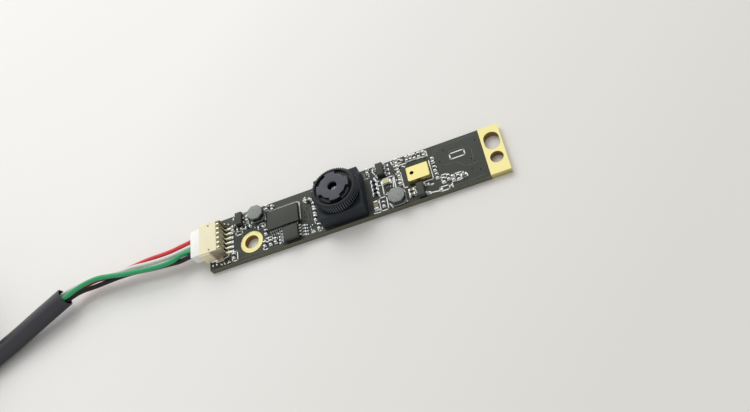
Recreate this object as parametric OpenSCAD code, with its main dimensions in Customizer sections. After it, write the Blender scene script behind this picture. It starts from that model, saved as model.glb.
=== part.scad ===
// Strip camera module: a narrow circuit board with a focus lens, a microphone,
// a wire header and its cable. Millimetres. The origin is the centre of the
// board's flat back face, +X runs towards the gold end, +Y to the back edge.

/* [Board] */
// Length of the board
board_l = 56; // [56:0.5:70]
// Width of the board
board_w = 10; // [10:0.5:16]
// Thickness of the board
board_t = 1.2; // [0.8:0.1:2]
// Thickness of a tinned or gold pad above the mask
pad_t = 0.04; // [0.03:0.01:0.08]
// Thickness of the plating on the board's faces
plating_t = 0.1; // [0.06:0.02:0.12]
// Wall of the plating in a hole
barrel_t = 0.2; // [0.18:0.01:0.24]

/* [Gold end] */
// Length of the gold-plated end
end_l = 3.55; // [3.4:0.05:5]
// Distance of both end holes from the board's end
end_hole_inset = 1.7; // [1.7:0.05:2.2]
// Width of the oval hole
slot_w = 2.7; // [2:0.1:2.9]
// Length of the oval hole, across the board
slot_l = 3.7; // [3:0.1:4]
// Place of the oval hole across the board
slot_y = 1.8; // [1.7:0.1:2.3]
// Diameter of the round pilot hole
pilot_d = 2.3; // [1.6:0.1:2.4]
// Place of the pilot hole across the board
pilot_y = -1.8; // [-2.4:0.1:-1.8]

/* [Mounting ring] */
// Distance of the mounting hole from the header end
ring_inset = 8.5; // [8.3:0.1:8.7]
// Place of the mounting hole across the board
ring_y = -1.9; // [-2.4:0.1:-1.8]
// Outside diameter of the gold ring
ring_d = 4.4; // [4:0.1:4.6]
// Diameter of the plated hole
ring_hole_d = 2.7; // [2:0.1:3.2]

/* [Lens holder] */
// Distance of the lens axis from the header end
lens_inset = 26.65; // [26.6:0.05:28]
// Place of the lens axis across the board
lens_y = -0.25; // [-0.6:0.05:0.5]
// Width of the holder along the board
holder_w = 8.3; // [8.1:0.1:9]
// Depth of the holder across the board
holder_d = 8.6; // [8.2:0.1:9]
// Height of the holder above the board
holder_h = 3.05; // [2.9:0.05:5]
// Bevel on the holder's edges
holder_bevel = 0.15; // [0.1:0.05:0.5]
// Diameter of the threaded bore
thread_d = 7; // [6.6:0.1:7.2]
// Running clearance of the thread, on the radius
thread_gap = 0.05; // [0.02:0.01:0.08]
// Width of the square sensor chamber
chamber_w = 7; // [6.6:0.1:7.2]
// Height of the sensor chamber
chamber_h = 1.5; // [1.5:0.05:2]

/* [Focus lens] */
// Gap under the knurled ring
ring_lift = 0.28; // [0.25:0.01:0.6]
// Diameter of the knurled ring over its teeth
knurl_d = 8.3; // [8.2:0.05:8.4]
// Height of the knurled ring
knurl_h = 1.45; // [0.9:0.05:2]
// Depth of a tooth
tooth_h = 0.2; // [0.08:0.01:0.2]
// Number of teeth
teeth = 60; // [48:4:84]
// Diameter of the front rim
rim_d = 7.85; // [7.7:0.05:7.9]
// Height of the front rim above the knurled ring
rim_h = 0.3; // [0.2:0.05:1]
// Diameter of the front disc
disc_d = 5.95; // [5.6:0.05:6.2]
// Height of the disc above the rim
disc_h = 0.45; // [0.3:0.05:0.8]
// Diameter of the aperture's mouth
aperture_d = 1.75; // [1.2:0.05:2.2]
// Diameter of the glass inside the barrel
glass_d = 5.2; // [4.6:0.1:5.4]
// Angle that one key notch takes from the disc's edge
notch_a = 50; // [30:1:60]
// Where the first key notch stands
notch_first = 48; // [0:1:89]

/* [Chips] */
// Distance of the bridge chip from the header end
bridge_inset = 15.2; // [15.1:0.05:15.3]
// Length of the bridge chip
bridge_l = 6.1; // [5.8:0.1:6.2]
// Width of the bridge chip's body
bridge_w = 4; // [3.8:0.1:4.2]
// Pins on each long side of the bridge chip
bridge_pins = 14; // [8:2:14]
// Pin pitch of the bridge chip
bridge_pitch = 0.4; // [0.3:0.05:0.4]
// Distance of the memory chip from the header end
flash_inset = 16.4; // [16.4:0.05:16.6]
// Side of the memory chip's body
flash_w = 2.9; // [2.6:0.1:3]
// Distance of the left regulator from the header end
left_reg_inset = 6.55; // [6.4:0.05:6.7]
// Distance of the right regulator from the lens holder
right_reg_inset = 3.45; // [3.3:0.05:3.5]
// Distance of the left coil from the header end
left_coil_inset = 10.1; // [10:0.05:10.2]
// Distance of the right coil from the lens holder
right_coil_inset = 5.55; // [5.5:0.05:5.7]
// Side of a power coil
coil_w = 2.8; // [2.5:0.05:2.9]
// Height of a power coil
coil_h = 1.55; // [1.2:0.05:2]
// Distance of the microphone from the lens holder
mic_inset = 10; // [9.9:0.05:10.1]
// Distance of the transistor from the lens holder
transistor_inset = 9.75; // [9.6:0.05:9.9]
// Length of the microphone
mic_l = 4; // [3.6:0.1:4.2]
// Width of the microphone
mic_w = 3.05; // [2.6:0.05:3.2]
// Height of the microphone's can
mic_h = 0.85; // [0.6:0.05:1.2]
// Diameter of the microphone's sound port
port_d = 0.7; // [0.4:0.05:0.9]

/* [Header and plug] */
// Number of contacts
ways = 6; // [6:1:6]
// Contact pitch
pitch = 1; // [0.95:0.01:1.1]
// Height of the header above the board
header_h = 2.95; // [2.8:0.05:3.4]
// Depth of the header's housing
header_l = 3.35; // [3.2:0.05:4]
// Overhang of the header past the board's end
header_out = 0.45; // [0.2:0.05:0.8]
// Thickness of the header's roof and floor
header_wall = 0.45; // [0.35:0.05:0.5]
// Thickness of the header's side walls
header_side = 0.25; // [0.25:0.05:0.3]
// Clearance round the plug in its header
plug_gap = 0.06; // [0.04:0.01:0.1]
// Length of plug that stands out of the header
plug_out = 2.15; // [1.5:0.05:3.5]
// Diameter of a wire over its insulation
wire_d = 0.9; // [0.7:0.05:0.9]

/* [Cable] */
// Diameter of the cable
cable_d = 3; // [2.6:0.1:3.2]
// Wall of the shrink sleeve on the cable's end
sleeve_t = 0.25; // [0.2:0.05:0.5]
// Thickness of the tie on the folded cable
tie_t = 0.4; // [0.3:0.1:0.8]
// Width of the tie
tie_w = 5; // [3:0.5:8]

/* [USB plug] */
// Length of the metal shell outside the grip
shell_l = 16; // [14:0.5:18.75]
// Width of the metal shell
shell_w = 12; // [11.9:0.1:12.1]
// Height of the metal shell
shell_h = 4.5; // [4.4:0.1:4.6]
// Length of the moulded grip
grip_l = 21; // [18:0.5:30]
// Width of the moulded grip
grip_w = 15; // [14:0.5:17]
// Height of the moulded grip
grip_h = 7.6; // [7:0.1:9]

/* [Hidden] */
$fn = 48;

eps = 0.01;                                 // overrun of a cut past a face
left_x = -board_l / 2;                      // the header end
right_x = board_l / 2;                      // the gold end
part_z = board_t + pad_t;                   // where parts stand on their pads
end_hole_x = right_x - end_hole_inset;
ring_x = left_x + ring_inset;
lens_x = left_x + lens_inset;
beside_x = lens_x + holder_w / 2;           // the holder's wall on the microphone's side

// Small parts as [x, y, runs across the board]. Those of the first two lists
// are placed from the header end, the others from the holder's wall.
resistors_left = [
    [4.8, -3.62, 1], [6.3, 1.6, 0], [8.0, 1.5, 0], [10.5, 0.5, 0], [11.4, -0.95, 1],
    [11.0, -3.35, 1], [12.15, -3.45, 1], [21.05, -1.55, 1], [21.05, -0.15, 1],
    [21.0, 1.25, 1], [21.5, -3.5, 1]
];
capacitors_left = [
    [5.0, 2.1, 1], [7.95, 3.35, 1], [12.0, 4.2, 1], [13.1, 3.75, 1], [13.2, -3.45, 1],
    [20.1, 2.7, 0], [21.4, 3.6, 1]
];
resistors_right = [
    [1.85, 1.75, 0], [1.85, 0.85, 0], [1.85, -0.05, 0], [1.85, -0.95, 0], [2.85, -3.55, 1],
    [9.9, 4.1, 1], [10.7, 4.1, 1], [12.85, 0.05, 1], [12.95, -1.6, 1], [13.9, -2.9, 1],
    [14.75, -2.6, 1], [16.4, -3.3, 1]
];
capacitors_right = [
    [1.05, 4.3, 1], [6.55, 4.25, 1], [6.55, 2.75, 1], [6.55, 1.3, 1], [6.55, -0.35, 1],
    [8.5, 4.05, 1], [9.2, 4.05, 1], [11.6, 3.9, 1], [12.85, 1.85, 1], [8.15, -3.7, 0],
    [8.15, -2.8, 0], [15.5, -3.2, 1], [17.4, -3.3, 0]
];
res_l = 1;
res_w = 0.5;
res_h = 0.35;
cap_h = 0.5;
cap_end = 0.22;                             // length of a tinned end
cap_wrap = 0.02;                            // thickness of a tinned end over the body
bulk_l = 1.6;
bulk_w = 0.8;
bulk_h = 0.6;
bulk_at = [beside_x + 1.55, -3.5];
led_at = [beside_x + 4.05, 0.7];
diode_at = [beside_x + 4.25, -0.85];

bridge_at = [left_x + bridge_inset, 0.6];
bridge_h = 0.85;
flash_at = [left_x + flash_inset, -3.2];
flash_h = 0.9;
left_reg_at = [left_x + left_reg_inset, 3.45];
right_reg_at = [beside_x + right_reg_inset, 3.35];
transistor_at = [beside_x + transistor_inset, -3.5];
sot_w = 1.35;
sot_l = 2.7;
sot_h = 1.0;
sot_pitch = 0.95;
left_coil_at = [left_x + left_coil_inset, 3.15];
right_coil_at = [beside_x + right_coil_inset, -3.45];
mic_at = [beside_x + mic_inset, 0];

// Heights inside the lens, from the board up
chamber_top = board_t + chamber_h;
shelf_t = 0.3;
holder_top = board_t + holder_h;
knurl_z = holder_top + ring_lift;
rim_z = knurl_z + knurl_h;
rim_top = rim_z + rim_h;
disc_top = rim_top + disc_h;
barrel_foot = chamber_top + shelf_t + 0.25;
thread_r = thread_d / 2 - thread_gap;
glass_r = glass_d / 2;
glass_gap = 0.03;                           // round and between the loose glass elements
rear_z = barrel_foot + 0.25;
rear_t = 0.75;
spacer_t = 0.85;
front_z = rear_z + rear_t + spacer_t;
front_t = 0.5;
disc_foot = front_z + front_t + glass_gap;

// Header and plug
header_x = left_x - header_out;             // the header's mouth
header_back = header_x + header_l;
header_half = (ways - 1) * pitch / 2 + 0.6; // half the width of the narrow rear part
mouth_half = header_half + 0.3;
mouth_l = 1.85;                             // depth of the wide part at the mouth
header_top = board_t + header_h;
header_foot = board_t + pad_t;
rear_wall = 0.8;
cell_w = 0.44;                              // width of a contact's cell in the plug
contact_t = 0.2;
contact_w = 0.34;
plug_x = header_x - plug_out;
plug_half = header_half - header_side - plug_gap;
plug_z = header_foot + header_wall + plug_gap;
plug_top = header_top - header_wall - plug_gap;
wire_z = (plug_z + plug_top) / 2;
wing_l = 0.85;                              // metal tab behind the housing
wing_t = 0.2;
wing_y = header_half - wing_t / 2;

// Routes of the wires and the cable, as places that each one passes
red_path = [
    [plug_x, 1.5, 2.7], [-33.3, 1.2, 2.6], [-35.1, 1.05, 2.5], [-40.55, 1.1, 2.3],
    [-43.35, 1, 2.1], [-46.15, 0.8, 1.95], [-48.95, 0.8, 1.85], [-51.75, 1, 1.85],
    [-55.3, 0.3, 1.9], [-57.15, -0.65, 2.1], [-60.7, -2.95, 2.25]
];
white_path = [
    [plug_x, 0.5, 2.7], [-33.25, 0.15, 2.65], [-35, -0.1, 2.7], [-40.15, -0.05, 2.8],
    [-42.8, 0.15, 2.9], [-45.45, 0.15, 2.9], [-48.15, 0.3, 2.9], [-50.85, 0.65, 2.9],
    [-54.35, 0.25, 3.1], [-58, -0.55, 3.1], [-61.1, -2.25, 2.8]
];
green_path = [
    [plug_x, -0.5, 2.7], [-33.05, -0.9, 3], [-34.55, -1.75, 3.35], [-39.6, -1.8, 3.6],
    [-42.2, -1.45, 3.65], [-44.8, -1.1, 3.75], [-47.45, -0.6, 3.85], [-50.1, -0.25, 3.95],
    [-53.55, -0.85, 4.1], [-56.85, -1.95, 3.95], [-60.9, -2.75, 3.6]
];
black_path = [
    [plug_x, -1.5, 2.7], [-33.55, -1.5, 2.2], [-35.45, -1.2, 1.95], [-40.7, -0.65, 1.95],
    [-43.4, -0.3, 2], [-46.1, -0.15, 1.95], [-48.9, -0.2, 1.9], [-51.65, -0.3, 1.85],
    [-55, -0.65, 2.2], [-57, -1.65, 2.6], [-60.55, -3.5, 3]
];
sleeve_path = [
    [-57.5, -1.3, 3.15], [-60.5, -2.7, 2.95], [-63.9, -4.3, 2.7], [-66.6, -5.5, 2.4],
    [-69.3, -6.7, 2.2], [-72, -7.9, 2.1], [-75, -9.4, 2]
];
run_path = [
    [-61.3, -3.1, 2.9], [-63.9, -4.3, 2.7], [-66.6, -5.5, 2.4], [-69.3, -6.7, 2.2],
    [-72, -7.9, 2.1], [-75, -9.4, 2], [-77, -10.6, 1.9], [-79, -12.2, 1.8],
    [-81.2, -13.9, 1.8], [-84, -15.4, 1.9], [-87.5, -16, 1.9], [-92, -16, 1.9]
];
tail_path = [
    [-136, 5, 8.2], [-126, 5, 10.4], [-115, 5, 11.4], [-104, 5.2, 11.2], [-96, 6.6, 10.9],
    [-88.6, 8, 10.9], [-81.7, 5.4, 10.9], [-79, -1, 11], [-81.6, -7.4, 11.6], [-88, -10, 12.8],
    [-95, -10, 13.5], [-103, -10, 13.6]
];
hank_near = -92;                            // centre of the near fold
hank_far = -137;                            // centre of the far fold
hank_y = -4;
hank_inner = 9;                             // fold radius of the inner turns
hank_rows = 3;                              // turns on top of each other
hank_h = hank_rows * cable_d;
hank_in_r = hank_inner - cable_d / 2;
hank_out_r = hank_inner + 1.5 * cable_d;
tie_x = -113;
plug_rest = 2 * tie_t + hank_h;             // where the USB plug lies, on the tie
usb_x = -122;                               // the grip's end at the metal shell
usb_y = -10;
usb_z = plug_rest + grip_h / 2;
shell_seat = 3;                             // how far the shell reaches into the grip
relief_l = 6;                               // length of the strain relief

// --- Outlines and shapes that repeat ---------------------------------------

// A rectangle with round corners
module round_rect(l, w, r) {
    square([l - 2 * r, w], center = true);
    square([l, w - 2 * r], center = true);
    for (sx = [-1, 1], sy = [-1, 1])
        translate([sx * (l / 2 - r), sy * (w / 2 - r)]) circle(r);
}

// A rectangle with cut corners
module cut_rect(l, w, c) {
    polygon([
        [l / 2, w / 2 - c], [l / 2 - c, w / 2], [c - l / 2, w / 2], [-l / 2, w / 2 - c],
        [-l / 2, c - w / 2], [c - l / 2, -w / 2], [l / 2 - c, -w / 2], [l / 2, c - w / 2]
    ]);
}

// An oval hole's outline, its long side across the board
module oval(w, l) {
    for (s = [-1, 1]) translate([0, s * (l - w) / 2]) circle(d = w);
    square([w, l - w], center = true);
}

// A box that stands on its place
module block(l, w, h) {
    translate([-l / 2, -w / 2, 0]) cube([l, w, h]);
}

// A moulded chip body, its sides sloping in above and below the pins
module chip_body(l, w, h, slope = 0.08) {
    half = h * 0.55;
    intersection() {
        rotate([90, 0, 0]) linear_extrude(w + 1, center = true) polygon([
            [slope - l / 2, 0], [l / 2 - slope, 0], [l / 2, half], [l / 2 - slope, h],
            [slope - l / 2, h], [-l / 2, half]
        ]);
        rotate([90, 0, 90]) linear_extrude(l + 1, center = true) polygon([
            [slope - w / 2, 0], [w / 2 - slope, 0], [w / 2, half], [w / 2 - slope, h],
            [slope - w / 2, h], [-w / 2, half]
        ]);
    }
}

// A gull-wing pin that leaves a body at y = 0 and stands on its foot
module gull_pin(reach, rise, foot, w, t = 0.13) {
    rotate([90, 0, 90]) linear_extrude(w, center = true) polygon([
        [0, rise], [reach - foot - t, rise], [reach - foot, 0], [reach, 0],
        [reach, t], [reach - foot + t, t], [reach - foot, rise + t], [0, rise + t]
    ]);
}

// A row of gull-wing pins beside a body, on its +Y side
module pin_row(count, step, reach, rise, foot, w) {
    for (i = [0 : count - 1])
        translate([(i - (count - 1) / 2) * step, 0, 0]) gull_pin(reach, rise, foot, w);
}

// The two pin rows of a chip with the given body width
module pin_rows(count, step, body, reach, rise, foot, w) {
    for (a = [0, 180])
        rotate(a) translate([0, body / 2, 0]) pin_row(count, step, reach, rise, foot, w);
}

// Where the small parts of one list stand
module at_parts(list, from_x) {
    for (p = list) translate([from_x + p[0], p[1], part_z]) rotate(90 * p[2]) children();
}

// Where every chip resistor and every chip capacitor stands
module at_resistors() {
    at_parts(resistors_left, left_x) children();
    at_parts(resistors_right, beside_x) children();
}
module at_capacitors() {
    at_parts(capacitors_left, left_x) children();
    at_parts(capacitors_right, beside_x) children();
}

// A small part's body between its ends, and its two tinned ends
module part_body(l, w, h) {
    translate([0, 0, cap_wrap]) block(l - 2 * cap_end, w - 2 * cap_wrap, h - 2 * cap_wrap);
}
module part_ends(l, w, h) {
    for (s = [-1, 1]) translate([s * (l - cap_end) / 2, 0, 0]) block(cap_end, w, h);
}

// Points round a ring of a tube, square to the way that the path runs there
function unit(v) = v / norm(v);
function way(path, i) = unit(path[min(i + 1, len(path) - 1)] - path[max(i - 1, 0)]);
function side(d) = unit(cross([0, 0, 1], d));
function ring_at(path, i, r, n) = let (d = way(path, i), s = side(d), u = cross(d, s))
    [for (k = [0 : n - 1]) path[i] + r * (cos(360 * k / n) * s + sin(360 * k / n) * u)];

// The skin between the rings of a tube whose points start at one index
function rings(path, d, n) = [for (i = [0 : len(path) - 1], p = ring_at(path, i, d / 2, n)) p];
function skin(first, count, n) = [for (i = [0 : count - 2], k = [0 : n - 1])
    let (a = first + i * n + k, b = first + i * n + (k + 1) % n) [a, b, b + n, a + n]];
function back(faces) = [for (f = faces) [f[3], f[2], f[1], f[0]]];

// A plain round tube along a path
module tube(path, d, n = 8) {
    last = (len(path) - 1) * n;
    polyhedron(rings(path, d, n), concat(
        [[for (k = [n - 1 : -1 : 0]) k]],
        skin(0, len(path), n),
        [[for (k = [0 : n - 1]) last + k]]));
}

// A tube with a bore along the same path
module hollow_tube(path, d, bore, n = 12) {
    inner = len(path) * n;
    last = inner - n;
    mouth = [for (k = [0 : n - 1]) let (j = (k + 1) % n) [k, inner + k, inner + j, j]];
    end = [for (k = [0 : n - 1]) let (j = (k + 1) % n)
        [last + j, last + inner + j, last + inner + k, last + k]];
    polyhedron(concat(rings(path, d, n), rings(path, bore, n)),
        concat(skin(0, len(path), n), back(skin(inner, len(path), n)), mouth, end));
}

// --- Board -------------------------------------------------------------------

// The holes through the board, wider by the plating
module board_holes(extra) {
    translate([ring_x, ring_y, -eps]) cylinder(d = ring_hole_d + 2 * extra, h = board_t + 2 * eps);
    end_holes(extra);
}
module end_holes(extra) {
    translate([end_hole_x, pilot_y, -1]) cylinder(d = pilot_d + 2 * extra, h = board_t + 2);
    translate([end_hole_x, slot_y, -1]) linear_extrude(board_t + 2)
        oval(slot_w + 2 * extra, slot_l + 2 * extra);
}

module circuit_board() {
    color([0.16, 0.16, 0.15]) difference() {
        translate([left_x, -board_w / 2, 0]) cube([board_l, board_w, board_t]);
        board_holes(barrel_t);
        end_wrap();
        ring_flanges();
    }
}

// The plating's skin round the board's end, without its holes
module end_wrap() {
    difference() {
        translate([right_x - end_l, -board_w / 2 - eps, -eps])
            cube([end_l + eps, board_w + 2 * eps, board_t + pad_t + eps]);
        translate([right_x - end_l - 1, plating_t - board_w / 2, plating_t])
            cube([end_l + 1 - plating_t, board_w - 2 * plating_t, board_t - 2 * plating_t]);
    }
}

module end_plating() {
    color([0.93, 0.85, 0.45]) difference() {
        translate([right_x - end_l, -board_w / 2, 0]) cube([end_l, board_w, board_t + pad_t]);
        difference() {
            translate([right_x - end_l - 1, plating_t - board_w / 2, plating_t])
                cube([end_l + 1 - plating_t, board_w - 2 * plating_t, board_t - 2 * plating_t]);
            end_holes(barrel_t);
        }
        end_holes(0);
    }
}

// The two flat rings of the mounting hole, let into the board's faces
module ring_flanges() {
    translate([ring_x, ring_y, board_t - plating_t]) cylinder(d = ring_d, h = plating_t + pad_t);
    translate([ring_x, ring_y, 0]) cylinder(d = ring_d, h = plating_t);
}

module mount_ring() {
    color([0.93, 0.85, 0.45]) difference() {
        union() {
            ring_flanges();
            translate([ring_x, ring_y, 0]) cylinder(d = ring_hole_d + 2 * barrel_t, h = board_t);
        }
        translate([ring_x, ring_y, -1]) cylinder(d = ring_hole_d, h = board_t + 2);
    }
}

// Tinned pads under every part's ends and pins
module solder_pads() {
    color([0.86, 0.87, 0.88]) translate([0, 0, board_t - part_z]) {
        at_resistors() part_pads(res_l, res_w);
        at_capacitors() part_pads(res_l, res_w);
        translate([bulk_at[0], bulk_at[1], part_z]) rotate(90) part_pads(bulk_l, bulk_w);
        translate([led_at[0], led_at[1], part_z]) part_pads(bulk_l, bulk_w);
        translate([diode_at[0], diode_at[1], part_z]) rotate(90) part_pads(res_l, bulk_w);
        for (s = [-1, 1]) {
            for (at = [left_coil_at, right_coil_at])
                translate([at[0] + s * coil_w * 0.36, at[1], part_z]) block(coil_w * 0.3, coil_w * 0.8, pad_t);
            translate([bridge_at[0], bridge_at[1] + s * (bridge_w / 2 + 0.6), part_z])
                pad_row(bridge_pins, bridge_pitch, 0.24, 0.5);
            translate([flash_at[0] + s * (flash_w / 2 + 0.75), flash_at[1], part_z])
                rotate(90) pad_row(4, 0.65, 0.36, 0.8);
            for (at = [left_reg_at, right_reg_at])
                translate([at[0] + s * (sot_w / 2 + 0.5), at[1], part_z])
                    rotate(90) pad_row(s < 0 ? 2 : 3, s < 0 ? 2 * sot_pitch : sot_pitch, 0.5, 0.75);
            translate([transistor_at[0] + s * (sot_w / 2 + 0.5), transistor_at[1], part_z])
                rotate(90) pad_row(s < 0 ? 1 : 2, 2 * sot_pitch, 0.5, 0.75);
            translate([header_back - 0.9, s * (header_half + 0.4), part_z]) block(1.7, 0.7, pad_t);
        }
        translate([header_back + 1.25, 0, part_z]) rotate(90) pad_row(ways, pitch, 0.55, 1.5);
    }
}
module part_pads(l, w) {
    for (s = [-1, 1]) translate([s * (l / 2 - cap_end / 3), 0, 0]) block(cap_end * 1.9, w + 0.1, pad_t);
}
module pad_row(count, step, w, l) {
    for (i = [0 : count - 1])
        translate([(i - (count - 1) / 2) * step, 0, 0]) block(w, l, pad_t);
}

// --- Small parts -------------------------------------------------------------

module chip_resistors() {
    color([0.1, 0.1, 0.11]) at_resistors() part_body(res_l, res_w, res_h);
}

module chip_capacitors() {
    color([0.62, 0.53, 0.4]) {
        at_capacitors() part_body(res_l, res_w, cap_h);
        translate([bulk_at[0], bulk_at[1], part_z]) rotate(90) part_body(bulk_l, bulk_w, bulk_h);
    }
}

module end_caps() {
    color([0.88, 0.88, 0.87]) {
        at_resistors() part_ends(res_l, res_w, res_h);
        at_capacitors() part_ends(res_l, res_w, cap_h);
        translate([bulk_at[0], bulk_at[1], part_z]) rotate(90) part_ends(bulk_l, bulk_w, bulk_h);
        translate([led_at[0], led_at[1], part_z]) part_ends(bulk_l, bulk_w, res_h);
        translate([diode_at[0], diode_at[1], part_z]) rotate(90) part_ends(res_l, bulk_w, cap_h);
    }
}

// A white housing with a tapered well for the yellow window
module status_led() {
    color([0.93, 0.93, 0.9]) translate([led_at[0], led_at[1], part_z]) difference() {
        block(bulk_l - 2 * cap_end, bulk_w, bulk_h);
        translate([0, 0, bulk_h / 2]) block(bulk_l * 0.5, bulk_w * 0.7, bulk_h);
    }
}
module status_led_window() {
    color([0.8, 0.78, 0.35]) translate([led_at[0], led_at[1], part_z + bulk_h / 2])
        block(bulk_l * 0.5, bulk_w * 0.7, bulk_h / 2 - 0.03);
}
module diode_body() {
    color([0.07, 0.07, 0.08]) translate([diode_at[0], diode_at[1], part_z])
        rotate(90) part_body(res_l, bulk_w, bulk_h);
}

// --- Chips -------------------------------------------------------------------

chip_lift = 0.1;                            // air under a chip's body

module bridge_chip() {
    color([0.13, 0.13, 0.13]) translate([bridge_at[0], bridge_at[1], part_z + chip_lift])
        chip_body(bridge_l, bridge_w, bridge_h);
}
module bridge_chip_pins() {
    color([0.78, 0.78, 0.78]) translate([bridge_at[0], bridge_at[1], part_z])
        pin_rows(bridge_pins, bridge_pitch, bridge_w, 0.8, 0.45, 0.4, 0.18);
}
module flash_chip() {
    color([0.13, 0.13, 0.13]) translate([flash_at[0], flash_at[1], part_z + chip_lift])
        chip_body(flash_w, flash_w, flash_h);
}
module flash_chip_pins() {
    color([0.78, 0.78, 0.78]) translate([flash_at[0], flash_at[1], part_z])
        rotate(90) pin_rows(4, 0.65, flash_w, 0.95, 0.45, 0.45, 0.3);
}

// The five-pin regulators, two pins on one long side and three on the other
module regulator_body() {
    translate([0, 0, chip_lift]) chip_body(sot_w, sot_l, sot_h);
}
module regulator_pins() {
    rotate(-90) translate([0, sot_w / 2, 0]) pin_row(3, sot_pitch, 0.7, 0.5, 0.35, 0.4);
    rotate(90) translate([0, sot_w / 2, 0]) pin_row(2, 2 * sot_pitch, 0.7, 0.5, 0.35, 0.4);
}
module left_regulator() {
    color([0.15, 0.15, 0.15]) translate([left_reg_at[0], left_reg_at[1], part_z]) regulator_body();
}
module left_regulator_pins() {
    color([0.78, 0.78, 0.78]) translate([left_reg_at[0], left_reg_at[1], part_z]) regulator_pins();
}
module right_regulator() {
    color([0.15, 0.15, 0.15]) translate([right_reg_at[0], right_reg_at[1], part_z]) regulator_body();
}
module right_regulator_pins() {
    color([0.78, 0.78, 0.78]) translate([right_reg_at[0], right_reg_at[1], part_z]) regulator_pins();
}

// The three-pin transistor beside the microphone
module audio_transistor() {
    color([0.15, 0.15, 0.15]) translate([transistor_at[0], transistor_at[1], part_z + chip_lift])
        chip_body(sot_w, sot_l, sot_h * 0.9);
}
module audio_transistor_pins() {
    color([0.78, 0.78, 0.78]) translate([transistor_at[0], transistor_at[1], part_z]) {
        rotate(-90) translate([0, sot_w / 2, 0]) pin_row(2, 2 * sot_pitch, 0.7, 0.45, 0.35, 0.4);
        rotate(90) translate([0, sot_w / 2, 0]) gull_pin(0.7, 0.45, 0.35, 0.4);
    }
}

// --- Power coils -------------------------------------------------------------

flange_t = 0.32;
post_r = coil_w * 0.2;
winding_r = coil_w * 0.4;

// A drum core: two flanges with cut corners on a round post
module coil_core() {
    linear_extrude(flange_t) cut_rect(coil_w, coil_w, coil_w * 0.2);
    translate([0, 0, coil_h - flange_t]) linear_extrude(flange_t)
        cut_rect(coil_w, coil_w, coil_w * 0.27);
    cylinder(r = post_r, h = coil_h);
}
module coil_winding() {
    rotate_extrude() translate([post_r, flange_t])
        square([winding_r - post_r, coil_h - 2 * flange_t]);
}
// The dark resin that fills the drum round the winding
module coil_resin() {
    difference() {
        translate([0, 0, flange_t]) linear_extrude(coil_h - 2 * flange_t)
            cut_rect(coil_w - 0.1, coil_w - 0.1, coil_w * 0.25);
        cylinder(r = winding_r, h = coil_h);
    }
}
module left_coil_core() {
    color([0.6, 0.61, 0.6]) translate([left_coil_at[0], left_coil_at[1], part_z]) coil_core();
}
module left_coil_winding() {
    color([0.72, 0.4, 0.2]) translate([left_coil_at[0], left_coil_at[1], part_z]) coil_winding();
}
module left_coil_resin() {
    color([0.07, 0.08, 0.08]) translate([left_coil_at[0], left_coil_at[1], part_z]) coil_resin();
}
module right_coil_core() {
    color([0.6, 0.61, 0.6]) translate([right_coil_at[0], right_coil_at[1], part_z]) coil_core();
}
module right_coil_winding() {
    color([0.72, 0.4, 0.2]) translate([right_coil_at[0], right_coil_at[1], part_z]) coil_winding();
}
module right_coil_resin() {
    color([0.07, 0.08, 0.08]) translate([right_coil_at[0], right_coil_at[1], part_z]) coil_resin();
}

// --- Microphone --------------------------------------------------------------

mic_base_t = 0.25;
can_t = 0.1;
port_from_end = 0.95;

module mic_base() {
    color([0.35, 0.33, 0.2]) translate([mic_at[0], mic_at[1], board_t])
        linear_extrude(mic_base_t) square([mic_l, mic_w], center = true);
}
module mic_can() {
    color([0.95, 0.88, 0.5]) translate([mic_at[0], mic_at[1], board_t + mic_base_t]) difference() {
        linear_extrude(mic_h) round_rect(mic_l - 0.1, mic_w - 0.1, 0.25);
        translate([0, 0, -eps]) linear_extrude(mic_h - can_t)
            round_rect(mic_l - 0.1 - 2 * can_t, mic_w - 0.1 - 2 * can_t, 0.2);
        translate([port_from_end - mic_l / 2, 0.1, 0]) cylinder(d = port_d, h = mic_h + 1);
    }
}
// The sensing die and its amplifier, on the base under the can
module mic_die() {
    color([0.3, 0.32, 0.38]) translate([mic_at[0], mic_at[1], board_t + mic_base_t]) {
        translate([port_from_end - mic_l / 2 + 0.1, 0, 0]) block(1.1, 1.3, 0.35);
        translate([0.8, 0, 0]) block(1, 0.9, 0.25);
    }
}

// --- Lens holder and sensor ------------------------------------------------------

sensor_w = 5.4;
sensor_t = 0.55;
sensor_glass_t = 0.35;
filter_w = 5.8;
filter_t = 0.3;

module image_sensor() {
    color([0.2, 0.22, 0.2]) translate([lens_x, lens_y, board_t]) difference() {
        linear_extrude(sensor_t) round_rect(sensor_w, sensor_w, 0.2);
        translate([0, 0, sensor_t - 0.1]) block(3.8, 2.4, 1);
    }
}
module sensor_glass() {
    color([0.6, 0.7, 0.75, 0.4]) translate([lens_x, lens_y, board_t + sensor_t])
        block(sensor_w * 0.85, sensor_w * 0.85, sensor_glass_t);
}
// The cut filter, glued up against the holder's shelf
module ir_filter() {
    color([0.75, 0.35, 0.35, 0.5]) translate([lens_x, lens_y, chamber_top - filter_t])
        block(filter_w, filter_w, filter_t);
}

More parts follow.
